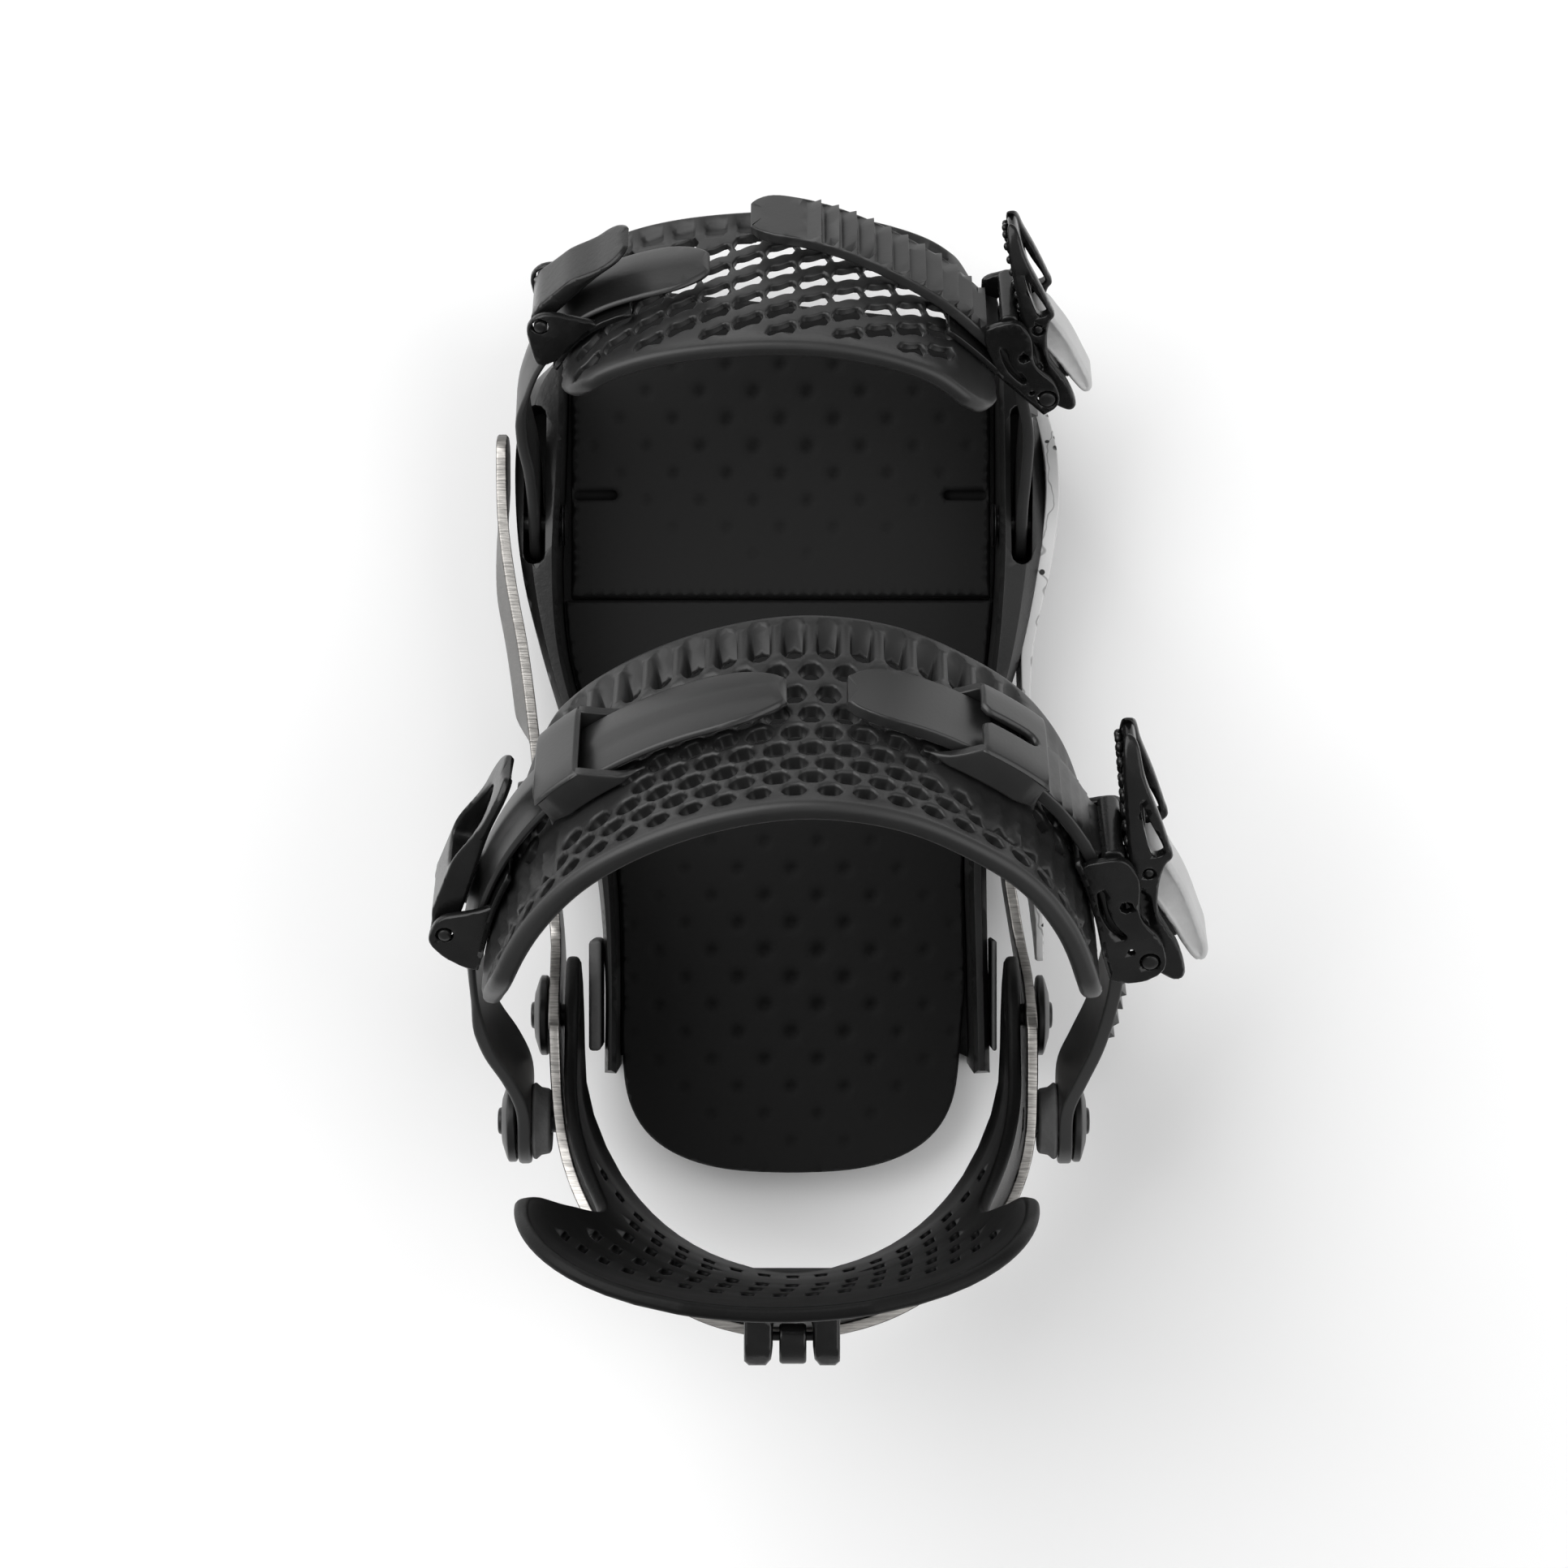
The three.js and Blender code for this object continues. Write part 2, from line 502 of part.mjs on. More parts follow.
// The toothed strap on the outer side, from its tip down through the ratchet to its pivot.
function ladder(spec, over, tail, teeth, drift) {
  const path = curveThrough([...over, ...tail]);
  const pitch = 4.4 / path.getLength();
  const count = Math.floor((teeth.to - teeth.from) / pitch);
  const cutBack = 0.84;
  const outer = (t) => {
    const phase = (t - teeth.from) / pitch + 1e-6;
    const raised = phase >= 0 && phase < count;
    return spec.thick / 2 + (raised && phase % 1 < cutBack + 1e-3 ? (TOOTH * (phase % 1)) / cutBack : 0);
  };
  const toothStops = Array.from({ length: count }, (_, k) => [
    teeth.from + k * pitch, teeth.from + (k + cutBack) * pitch,
  ]).flat();
  const stops = [0, 0.008, 0.024, 0.05, 0.09, 0.13, ...toothStops.filter((t) => t > 0.14)];
  const last = stops[stops.length - 1];
  stops.push(...evenStops(8, last + 0.02, 1));
  const half = (t) => spec.half * (t < 0.05 ? roundEnd(1 - t, 0.95) : 1);
  const aside = (t) => drift * (1 - between(t, 0, 0.5));
  const body = strap({ path, stops, low: (t) => aside(t) - half(t), high: (t) => aside(t) + half(t),
    inner: flat(-spec.thick / 2), outer });
  return cut(join(body, eye(spec.right, spec)), rodX(3.3, spec.right - 9, spec.right + 9, 0, 0));
}

const ankleTail = [[-66.7, -1.3], [-66.7, 12], [-69.6, 21], [-74.5, 31], [-77.6, 44], [-78.4, 56]];
const ankleRise = [[82.8, 54], [81.6, 44], [79, 32], [75.2, 21], [72.3, 12], [72.3, -1.3]];
const toeTail = [[TOE.left, -1.3], [TOE.left, 14], [-66.2, 24], [-67.6, 34], [-67.4, 44], [-64.6, 54]];
const toeRise = [[61.3, 46], [63, 36], [62.9, 24], [TOE.right, 13], [TOE.right, -1.3]];

// A loop on a pad that a strap runs through.
function guide(path, from, to, half) {
  const shell = strap({ path, stops: evenStops(4, from, to), low: flat(-half - 3.6), high: flat(half + 3.6),
    inner: flat(3), outer: flat(12.6), chamfer: 1.2 });
  const passage = strap({ path, stops: evenStops(6, from - 0.02, to + 0.02), low: flat(-half - 0.6),
    high: flat(half + 0.6), inner: flat(4.6), outer: flat(10.4), chamfer: 0.3 });
  return cut(shell, passage);
}

put('ankle_pad', anklePad(), 'strap', ankleFrame);
put('ankle_guide_left', guide(anklePath, 0.215, 0.27, ANKLE.half), 'strap', ankleFrame);
put('ankle_guide_right', guide(anklePath, 0.69, 0.77, ANKLE.half), 'strap', ankleFrame);
put('ankle_mount_strap', mountStrap(ANKLE, ankleTail, beside(anklePath, 0.01, 0.5, 12)), 'strap', ankleFrame);
put('ankle_ladder', ladder(ANKLE, beside(anklePath, 0.545, 0.99, 12), ankleRise, { from: 0.2, to: 0.8 }, 0),
  'strap', ankleFrame);
put('toe_strap_pad', toePad(), 'strap', toeFrame);
put('toe_mount_strap', mountStrap(TOE, toeTail, beside(toePath, 0.02, 0.37, 8)), 'strap', toeFrame);
put('toe_ladder', ladder(TOE, beside(toePath, 0.43, 0.99, 10), toeRise, { from: 0.16, to: 0.72 }, -19),
  'strap', toeFrame);

// ---------------------------------------------------------------- buckles
// A buckle's outlines are drawn from its hub as [out, along]: out is away from the foot, and along
// follows its closed lever. placed() turns them into the strap's frame.
function placed(outline, { hub, lean, side, size }) {
  const angle = THREE.MathUtils.degToRad(lean);
  const along = [-side * Math.sin(angle), Math.cos(angle)];
  const out = [side * Math.cos(angle), Math.sin(angle)];
  return outline.map(([b, a]) => [0, 1].map((k) => hub[k] + size * (b * out[k] + a * along[k])));
}

const pinAt = (buckle, at, radius, reach, sides = 12) => {
  const [[x, y]] = placed([at], buckle);
  return rodZ(radius, -reach, reach, x, y, sides);
};

const ankleRatchet = { path: anklePath, hub: [90.6, 62.6], lean: 6.4, side: 1, size: 1, inner: 11.6, wall: 2.4,
  from: 0.865, to: 1, frame: ankleFrame };
const toeRatchet = { path: toePath, hub: [67.2, 50], lean: 12.2, side: 1, size: 0.78, inner: 10.1, wall: 2.2,
  from: 0.84, to: 1, frame: toeFrame };
const ankleAdjuster = { path: anklePath, hub: [-83.6, 71], lean: 23, side: -1, size: 1, inner: 11.6, wall: 2.4,
  from: 0.005, to: 0.12, frame: ankleFrame };
const toeAdjuster = { path: toePath, hub: [-61.4, 72.4], lean: 50, side: -1, size: 0.66, inner: 10.1, wall: 2.2,
  from: 0.005, to: 0.2, frame: toeFrame };

function buckleFrame(buckle, cheek, holes) {
  const { path, from, to, inner, wall } = buckle;
  const reach = inner + wall;
  const base = strap({ path, stops: evenStops(6, from, to), low: flat(-reach), high: flat(reach),
    inner: flat(3), outer: flat(4.7), chamfer: 0.2 });
  const outline = placed(cheek, buckle);
  const cheeks = [prism(outline, inner, reach), prism(outline, -reach, -inner)];
  const bores = holes.map(([at, radius]) => pinAt(buckle, at, radius, 30));
  const padSpace = strap({ path, stops: evenStops(24), low: flat(-60), high: flat(60), inner: flat(-8),
    outer: flat(3) });
  return cut(join(base, ...cheeks), padSpace, ...bores);
}

const ratchetCheek = [[-15.2, 30], [-4, 32], [-0.6, 24], [-1.2, 13.6], [3.6, 4], [3.4, -3], [-2.6, -6],
  [-10.6, -4], [-13, 8.8]];
const ratchetLever = [[-3.4, 1.8], [-2.8, -2.8], [0, -4.4], [6.4, -9.6], [8.4, -8.6], [6.8, 2.7], [6, 16],
  [7.8, 28], [5.2, 41], [2.6, 52], [1.2, 62], [-1.2, 62.4], [-2.4, 46], [-2.9, 33], [-3, 18]];
const leverSlot = [[-1.5, 31], [14, 31], [14, -12], [5, -12], [5, 3], [-1.5, 17]];
const releaseTab = [[-0.6, 27.6], [4.2, 28.5], [10.2, 14.4], [14.7, -4.3], [12.3, -7], [9.2, -3.5],
  [5.4, 10.9], [-0.4, 21]];
const drivePawl = [[-5.2, 17], [-3.4, 21], [-3.4, 13]];
const tabPin = [1.6, 24.4];

function ratchet(name, buckle) {
  const { frame, inner, wall } = buckle;
  const half = inner - 1.2;
  const slotHalf = half - 3.2;
  const bore = 2.4;
  const lever = cut(
    prism(placed(ratchetLever, buckle), -half, half),
    prism(placed(leverSlot, buckle), -slotHalf, slotHalf),
    pinAt(buckle, [0, 0], bore, 30),
    pinAt(buckle, tabPin, 1.5, 30),
  );
  const tab = cut(prism(placed(releaseTab, buckle), 0.5 - slotHalf, slotHalf - 0.5), pinAt(buckle, tabPin, 1.5, 30));
  put(`${name}_ratchet_frame`, buckleFrame(buckle, ratchetCheek, [[[0, 0], bore]]), 'buckle', frame);
  put(`${name}_ratchet_pin`, pinAt(buckle, [0, 0], 2.1, inner + wall + 0.4), 'screw', frame);
  put(`${name}_ratchet_lever`, lever, 'buckle', frame);
  put(`${name}_drive_pawl`, prism(placed(drivePawl, buckle), -half + 2, half - 2), 'screw', frame);
  put(`${name}_release_pin`, pinAt(buckle, tabPin, 1.2, half - 0.3, 12), 'screw', frame);
  put(`${name}_release_tab`, tab, 'grey', frame);
}

const adjusterLever = [[-2.6, -2.6], [0, -3.6], [3.4, -2.4], [5.2, 2], [5.2, 20], [3, 31], [1.4, 45], [-0.8, 45],
  [-1.6, 30], [-2.2, 12], [-3.4, 2]];

function adjuster(name, buckle, cheek, open) {
  const { frame, inner, wall } = buckle;
  const window = prism(placed([[-12, 15], [12, 15], [12, 34], [-12, 34]], buckle), -inner / 2, inner / 2);
  const windows = open ? [window] : [];
  const half = inner - 0.8;
  const lever = cut(prism(placed(adjusterLever, buckle), -half, half), ...windows, pinAt(buckle, [0, 0], 2, 30));
  put(`${name}_adjuster_frame`, buckleFrame(buckle, cheek, [[[0, 0], 2]]), 'buckle', frame);
  put(`${name}_adjuster_pin`, pinAt(buckle, [0, 0], 1.7, inner + wall + 0.3), 'screw', frame);
  put(`${name}_adjuster_lever`, lever, 'buckle', frame);
}

ratchet('ankle', ankleRatchet);
ratchet('toe', toeRatchet);
adjuster('ankle', ankleAdjuster, [[-9.4, 13], [-4, 9], [2.6, 4], [3.6, 0], [2.6, -4], [-5, -7.4], [-12.6, -6.6],
  [-12.8, 4]], true);
adjuster('toe', toeAdjuster, [[-13.4, 17], [-8, 14], [2.8, 5], [4.2, 0], [2.8, -4.4], [-4, -9], [-13.4, -12.6],
  [-16, -2]], false);

export default binding;
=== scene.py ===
import json
import math

import bmesh
import bpy
import numpy as np
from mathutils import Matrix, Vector, geometry, kdtree

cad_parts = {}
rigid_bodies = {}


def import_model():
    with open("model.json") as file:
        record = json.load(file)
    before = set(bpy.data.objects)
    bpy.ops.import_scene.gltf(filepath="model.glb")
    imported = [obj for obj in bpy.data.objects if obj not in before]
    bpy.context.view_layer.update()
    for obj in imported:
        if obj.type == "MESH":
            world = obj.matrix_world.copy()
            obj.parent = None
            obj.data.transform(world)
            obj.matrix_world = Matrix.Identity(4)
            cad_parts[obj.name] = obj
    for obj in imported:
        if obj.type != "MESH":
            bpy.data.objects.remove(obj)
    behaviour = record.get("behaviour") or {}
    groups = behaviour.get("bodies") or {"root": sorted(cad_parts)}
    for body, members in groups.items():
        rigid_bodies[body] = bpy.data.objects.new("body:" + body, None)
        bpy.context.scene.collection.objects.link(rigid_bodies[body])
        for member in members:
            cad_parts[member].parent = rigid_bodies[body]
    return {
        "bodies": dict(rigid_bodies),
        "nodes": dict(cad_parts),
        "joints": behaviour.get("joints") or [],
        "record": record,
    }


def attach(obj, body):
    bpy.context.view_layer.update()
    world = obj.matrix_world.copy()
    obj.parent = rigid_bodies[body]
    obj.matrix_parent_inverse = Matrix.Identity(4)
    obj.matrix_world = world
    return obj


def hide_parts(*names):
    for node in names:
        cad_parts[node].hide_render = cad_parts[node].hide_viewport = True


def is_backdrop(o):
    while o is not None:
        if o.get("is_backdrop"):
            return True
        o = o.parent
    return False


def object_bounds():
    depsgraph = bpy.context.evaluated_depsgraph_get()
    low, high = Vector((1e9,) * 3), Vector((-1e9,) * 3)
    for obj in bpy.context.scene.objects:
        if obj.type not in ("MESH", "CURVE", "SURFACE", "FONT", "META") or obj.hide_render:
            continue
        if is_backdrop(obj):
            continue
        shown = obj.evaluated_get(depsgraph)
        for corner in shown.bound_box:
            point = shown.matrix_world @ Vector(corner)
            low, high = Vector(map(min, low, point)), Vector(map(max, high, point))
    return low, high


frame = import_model()
cad_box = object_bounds()
nodes = frame["nodes"]
body_of_node = {node: body for body, members in frame["record"]["behaviour"]["bodies"].items() for node in members}
slot_of_node = {part["node"]: part["material_slot"] for part in frame["record"]["subparts"]}

MM = 0.001


# ---------------------------------------------------------------- camera, light and floor
CAMERA_HEIGHT = 1.2
VIEW_WIDTH = 0.3559  # at a distance of one
SENSOR_WIDTH = 36
LIGHT_TARGET = Vector((0, 0, 0.05))
FLOOR_HALF, FLOOR_LEVEL = 4.0, -0.0006


def add(name, data):
    thing = bpy.data.objects.new(name, data)
    bpy.context.scene.collection.objects.link(thing)
    return thing


def make_camera():
    """Looks straight down at the mounting disc's centre, with the toe at the top of the picture."""
    camera = add("camera", bpy.data.cameras.new("camera"))
    camera.location = (0, 0, CAMERA_HEIGHT)
    camera.data.sensor_width = SENSOR_WIDTH
    camera.data.lens = SENSOR_WIDTH / VIEW_WIDTH
    bpy.context.scene.camera = camera


def make_light(name, place, side, power):
    """A square soft box that faces the binding."""
    data = bpy.data.lights.new(name, "AREA")
    data.shape = "RECTANGLE"
    data.size = data.size_y = side
    data.energy = power
    lamp = add(name, data)
    lamp.location = place
    lamp.rotation_euler = (LIGHT_TARGET - lamp.location).to_track_quat("-Z", "Y").to_euler()


def make_world(strength):
    world = bpy.data.worlds.new("studio")
    world.use_nodes = True
    world.node_tree.nodes["Background"].inputs["Color"].default_value = grey(1)
    world.node_tree.nodes["Background"].inputs["Strength"].default_value = strength
    bpy.context.scene.world = world


def make_floor():
    mesh = bpy.data.meshes.new("floor")
    corners = [(x * FLOOR_HALF, y * FLOOR_HALF, 0) for x, y in ((-1, -1), (1, -1), (1, 1), (-1, 1))]
    mesh.from_pydata(corners, [], [(0, 1, 2, 3)])
    mesh.materials.append(Look("floor", Base_Color=grey(0.93), Roughness=0.9).material)
    floor = add("floor", mesh)
    floor.location.z = FLOOR_LEVEL
    floor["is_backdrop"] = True


# ---------------------------------------------------------------- materials
def grey(value, tint=(1, 1, 1)):
    return (value * tint[0], value * tint[1], value * tint[2], 1)


class Look:
    """A small wrapper for building one node material."""

    def __init__(self, name, **sockets):
        self.material = bpy.data.materials.new(name)
        self.material.use_nodes = True
        self.tree = self.material.node_tree
        self.shader = self.tree.nodes["Principled BSDF"]
        for label, value in sockets.items():
            self.shader.inputs[label.replace("_", " ")].default_value = value

    def node(self, kind, sources=(), **settings):
        """Adds a node. Its sources are pairs of an output and the new node's input that takes it."""
        made = self.tree.nodes.new(kind)
        for label, value in settings.items():
            if hasattr(made, label):
                setattr(made, label, value)
            else:
                made.inputs[label.replace("_", " ")].default_value = value
        for source, socket in sources:
            self.tree.links.new(source, made.inputs[socket])
        return made

    def place(self, turn=0.0, scale=(1, 1, 1)):
        """The object's own coordinates, in metres, turned and stretched."""
        spot = self.node("ShaderNodeTexCoord").outputs["Object"]
        mapping = self.node("ShaderNodeMapping", [(spot, "Vector")], Rotation=(0, 0, turn), Scale=scale)
        return mapping.outputs["Vector"]

    def noise(self, place, scale, detail=3.0, rough=0.55):
        made = self.node("ShaderNodeTexNoise", [(place, "Vector")], Scale=scale, Detail=detail, Roughness=rough)
        return made.outputs["Fac"]

    def sharpness(self):
        return self.node("ShaderNodeNewGeometry").outputs["Pointiness"]

    def ramp(self, source, low, high, start=0.3, end=0.7, tint=(1, 1, 1)):
        """A grey that runs from low to high while the source runs from start to end."""
        made = self.node("ShaderNodeValToRGB", [(source, "Fac")])
        first, last = made.color_ramp.elements
        first.position, last.position = start, end
        first.color, last.color = grey(low, tint), grey(high, tint)
        return made.outputs["Color"]

    def spread(self, source, low, high):
        return self.node("ShaderNodeMapRange", [(source, "Value")], To_Min=low, To_Max=high).outputs["Result"]

    def bump(self, source, depth):
        return self.node("ShaderNodeBump", [(source, "Height")], Distance=depth).outputs["Normal"]

    def layer(self, blend, under, over):
        made = self.node("ShaderNodeMix", data_type="RGBA", blend_type=blend)
        made.inputs[0].default_value = 1
        self.tree.links.new(under, made.inputs[6])
        self.tree.links.new(over, made.inputs[7])
        return made.outputs[2]

    def finish(self, colour, rough, normal):
        for source, label in ((colour, "Base Color"), (rough, "Roughness"), (normal, "Normal")):
            self.tree.links.new(source, self.shader.inputs[label])
        return self.material


def moulded(name, dark, light, rough, grain=900, grain_depth=0.00006, edge=1.0, specular=0.5):
    """Moulded plastic: fine spark-eroded grain, slow mottling and a painted highlight that lightens its convex edges.
    """
    look = Look(name, Specular_IOR_Level=specular)
    place = look.place()
    mottle = look.noise(place, 60, 4)
    # Painted highlight: convex edges, found by their pointiness, are lightened as if they caught the light; edge sets
    # its strength.
    edge_highlight = look.ramp(look.sharpness(), 0, edge * 0.018, 0.52, 0.6)
    colour = look.layer("ADD", look.ramp(mottle, dark, light), edge_highlight)
    fine = look.noise(place, grain, 2)
    return look.finish(colour, look.spread(mottle, rough - 0.06, rough + 0.08), look.bump(fine, grain_depth))


def brushed(name, dark, light, rough, along, turn):
    """Brushed metal: fine slanting scratches, with painted shade that greys every face turned away from straight up, so
    its upward edges stay bright.
    """
    look = Look(name, Metallic=1.0)
    lines = look.noise(look.place(turn, along), 60, 3, 0.6)
    cloud = look.noise(look.place(), 45, 3)
    mixed = look.node("ShaderNodeMix", [(lines, 2), (cloud, 3)], data_type="FLOAT")
    mixed.inputs[0].default_value = 0.25
    colour = look.ramp(mixed.outputs[0], dark, light, 0.38, 0.62, (1.0, 0.965, 0.92))
    # Painted shade: the colour is multiplied down where the surface normal turns away from upwards, standing in for how
    # the light falls.
    normal = look.node("ShaderNodeTexCoord").outputs["Normal"]
    upwards = look.node("ShaderNodeSeparateXYZ", [(normal, "Vector")]).outputs["Z"]
    shaded = look.layer("MULTIPLY", colour, look.ramp(upwards, 0.3, 1, 0.5, 0.8))
    return look.finish(shaded, look.spread(lines, rough - 0.08, rough + 0.12), look.bump(lines, 0.00008))


def coated(name, dark, light, rough):
    """Black coated cast metal: satin, with a faint orange-peel surface."""
    look = Look(name, Metallic=0.55, Specular_IOR_Level=0.6)
    place = look.place()
    cloud = look.noise(place, 90, 3)
    peel = look.noise(place, 700, 2)
    return look.finish(look.ramp(cloud, dark, light), look.spread(cloud, rough - 0.05, rough + 0.1),
                       look.bump(peel, 0.00004))


def speckled(name):
    """Light grey recycled plastic with dark specks in patches and thin wavy lines."""
    look = Look(name, Specular_IOR_Level=0.4)
    place = look.place()
    cells = look.node("ShaderNodeTexVoronoi", [(place, "Vector")], Scale=230.0, Randomness=1.0)
    specks = look.ramp(cells.outputs["Distance"], 0.02, 1.0, 0.17, 0.2)
    bare = look.ramp(look.noise(place, 38, 1), 1, 0, 0.47, 0.5)
    wave = look.node("ShaderNodeTexWave", [(place, "Vector")], Scale=55.0, Distortion=12.0, Detail=3.0)
    lines = look.ramp(wave.outputs["Fac"], 0.3, 0.6, 0.0, 0.03)
    fine = look.noise(place, 800, 2)
    colour = look.layer("MULTIPLY", lines, look.layer("LIGHTEN", specks, bare))
    return look.finish(colour, look.spread(fine, 0.42, 0.6), look.bump(fine, 0.00004))


def foam(name, dark, light):
    """Matt EVA foam with a fine skin, with painted shade that darkens its dimples and other hollows."""
    look = Look(name, Specular_IOR_Level=0.25)
    place = look.place()
    cloud = look.noise(place, 30, 4)
    # Painted shade: concave spots, found by their pointiness, are darkened so the dimples read as shaded.
    dimple_shade = look.ramp(look.sharpness(), 0.3, 1, 0.455, 0.497)
    colour = look.layer("MULTIPLY", look.ramp(cloud, dark, light), dimple_shade)
    return look.finish(colour, look.spread(cloud, 0.72, 0.86), look.bump(look.noise(place, 1500, 2), 0.00005))


looks = {
    "chassis": moulded("chassis_nylon", 0.0065, 0.009, 0.36, specular=0.42),
    "footbed": foam("footbed_foam", 0.0105, 0.0122),
    "panel": speckled("panel_speckled"),
    "spacer": moulded("spacer_plastic", 0.085, 0.14, 0.75, grain=420, grain_depth=0.0003, specular=0.3),
    "disc": moulded("disc_nylon", 0.012, 0.017, 0.5, specular=0.4),
    "fastener": coated("fastener_coat", 0.010, 0.018, 0.32),
    "hoop": brushed("hoop_metal", 0.26, 0.56, 0.36, (3, 40, 3), 0.55),
    # Painted shade: the highback's near-black base and low specular darken the whole shell to the shade inside it, and
    # edge=1.2 paints its rim lighter as a highlight.
    "highback": moulded("highback_nylon", 0.0008, 0.0012, 0.46, edge=1.2, specular=0.16),
    "buckle": coated("buckle_coat", 0.009, 0.016, 0.24),
    "strap_pad": moulded("strap_pad_rubber", 0.012, 0.016, 0.42, grain_depth=0.00003, specular=0.45),
    "strap": moulded("strap_plastic", 0.010, 0.0135, 0.34, grain_depth=0.00002, specular=0.5),
    # The tab's grey is its own colour; edge=4.0 paints a strong highlight on its convex edges.
    "release_tab": moulded("release_grey", 0.42, 0.50, 0.42, edge=4.0),
}


# ---------------------------------------------------------------- pieces
def piece_from(mesh, node, bevel=0.0, segments=2, angle=32):
    """Makes the visible piece that stands for a CAD node, with rolled edges bevel millimetres wide."""
    shape = bmesh.new()
    shape.from_mesh(mesh)
    bmesh.ops.recalc_face_normals(shape, faces=shape.faces)
    shape.to_mesh(mesh)
    shape.free()
    mesh.shade_smooth()
    piece = add(mesh.name, mesh)
    if bevel:
        rolled = piece.modifiers.new("edges", "BEVEL")
        rolled.width = bevel * MM
        rolled.segments = segments
        rolled.limit_method = "ANGLE"
        rolled.angle_limit = math.radians(angle)
        rolled.use_clamp_overlap = True
    piece.modifiers.new("shading", "WEIGHTED_NORMAL").keep_sharp = True
    graph = bpy.context.evaluated_depsgraph_get()
    finished = bpy.data.meshes.new_from_object(piece.evaluated_get(graph), depsgraph=graph)
    piece.modifiers.clear()
    piece.data = finished
    finished.materials.clear()
    finished.materials.append(looks[slot_of_node[node]])
    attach(piece, body_of_node[node])
    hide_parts(node)
    return piece


def refined(node, bevel):
    """A CAD node with its shape kept and its edges rolled."""
    mesh = nodes[node].data.copy()
    mesh.name = node + "_finish"
    shape = bmesh.new()
    shape.from_mesh(mesh)
    bmesh.ops.remove_doubles(shape, verts=shape.verts, dist=2e-6)
    bmesh.ops.dissolve_limit(shape, angle_limit=math.radians(1.5), verts=shape.verts, edges=shape.edges)
    shape.to_mesh(mesh)
    shape.free()
    piece_from(mesh, node, bevel)


# ---------------------------------------------------------------- numbers shared with the CAD, in millimetres
HEEL_CENTRE_X = 2.2
HIGHBACK_BOTTOM, HIGHBACK_TOP, HIGHBACK_THICKNESS = 36.2, 240, 3.4
FOLD_PIVOT, ANKLE_PIVOT, TOE_PIVOT, SLIDE_BOLT = (-60, 56), (-87, 62), (68.5, 33), (-5, 33)  # (y, z) pairs
PIVOT_HOLE = 3.3  # a radius


def mix(low, high, share):
    return low + (high - low) * share


def step(value, start, end):
    share = np.clip((np.asarray(value, float) - start) / (end - start), 0, 1)
    return share * share * (3 - 2 * share)


def pairs(a, b):
    return np.stack([a, b], -1)


def strip(s, low, high):
    """The loop around what lies between low and high along s."""
    return np.vstack([pairs(s, low), pairs(s, high)[::-1]])


class Path:
    """A smooth line through points in a plane, measured along its length."""

    def __init__(self, points, fineness=24):
        p = np.array(points, float)
        p = np.vstack([2 * p[0] - p[1], p, 2 * p[-1] - p[-2]])
        runs = []
        for a, b, c, d in zip(p, p[1:], p[2:], p[3:]):
            da, db, dc = (np.linalg.norm(end - start) ** 0.5 for start, end in ((a, b), (b, c), (c, d)))
            leave = ((b - a) / da - (c - a) / (da + db) + (c - b) / db) * db
            arrive = ((c - b) / db - (d - b) / (db + dc) + (d - c) / dc) * db
            u = np.linspace(0, 1, fineness, endpoint=False)[:, None]
            curve = b + leave * u + (3 * (c - b) - 2 * leave - arrive) * u**2
            runs.append(curve + (2 * (b - c) + leave + arrive) * u**3)
        self.points = np.vstack([*runs, p[-2]])
        spans = np.linalg.norm(np.diff(self.points, axis=0), axis=1)
        self.lengths = np.concatenate([[0], np.cumsum(spans)])
        self.length = self.lengths[-1]

    def spot(self, s):
        return np.stack([np.interp(s, self.lengths, self.points[:, k]) for k in (0, 1)], -1)

    def normal(self, s):
        s = np.asarray(s, float)
        tangent = self.spot(np.minimum(s + 0.8, self.length)) - self.spot(np.maximum(s - 0.8, 0))
        tangent /= np.linalg.norm(tangent, axis=-1, keepdims=True)
        return pairs(-tangent[..., 1], tangent[..., 0])

    def off(self, s, height):
        """The points that stand off the line by a height to its left."""
        return self.spot(s) + self.normal(s) * np.asarray(height)[..., None]


class StrapFrame:
    """A strap's own frame: x across the binding, v from the pivots up, w over the strap's width."""

    def __init__(self, y, z, tilt):
        self.y, self.z = y, z
        self.cos, self.sin = math.cos(math.radians(tilt)), math.sin(math.radians(tilt))

    def place(self, x, v, w):
        y = self.y + v * self.cos - w * self.sin
        z = self.z + v * self.sin + w * self.cos
        return np.stack(np.broadcast_arrays(x, y, z), -1) * MM

    def on(self, path, side=1):
        """Places (distance along the path, w) pairs with a height to one side of the path."""
        return lambda spots, height: self.place(*path.off(spots[:, 0], side * height).T, spots[:, 1])


ankle_frame = StrapFrame(*ANKLE_PIVOT, 35.5)
toe_frame = StrapFrame(*TOE_PIVOT, 41)
ankle_path = Path([(-72, 62), (-67.5, 78), (-60, 93), (-48, 107), (-30, 118.5), (-10, 125.5), (8, 127.5),
                   (28, 124), (45, 115.5), (58, 105.5), (67.5, 92), (73, 77), (76, 63)])
toe_path = Path([(-55, 57), (-51, 64), (-46, 68.5), (-38, 72.2), (-28, 75), (-14, 77), (0, 77.6), (14, 76.5),
                 (28, 73), (38, 68.5), (46, 61.5), (53, 54)])


# ---------------------------------------------------------------- rounded sheets with holes
def shifted(loop, inwards):
    """An anticlockwise loop moved sideways."""
    tangent = np.roll(loop, -1, 0) - np.roll(loop, 1, 0)
    tangent /= np.maximum(np.linalg.norm(tangent, axis=1, keepdims=True), 1e-9)
    return loop + inwards * pairs(-tangent[:, 1], tangent[:, 0])


def anticlockwise(loop):
    loop = np.asarray(loop, float)
    x, y = loop.T
    return loop if np.sum(x * np.roll(y, -1) - np.roll(x, -1) * y) > 0 else loop[::-1]


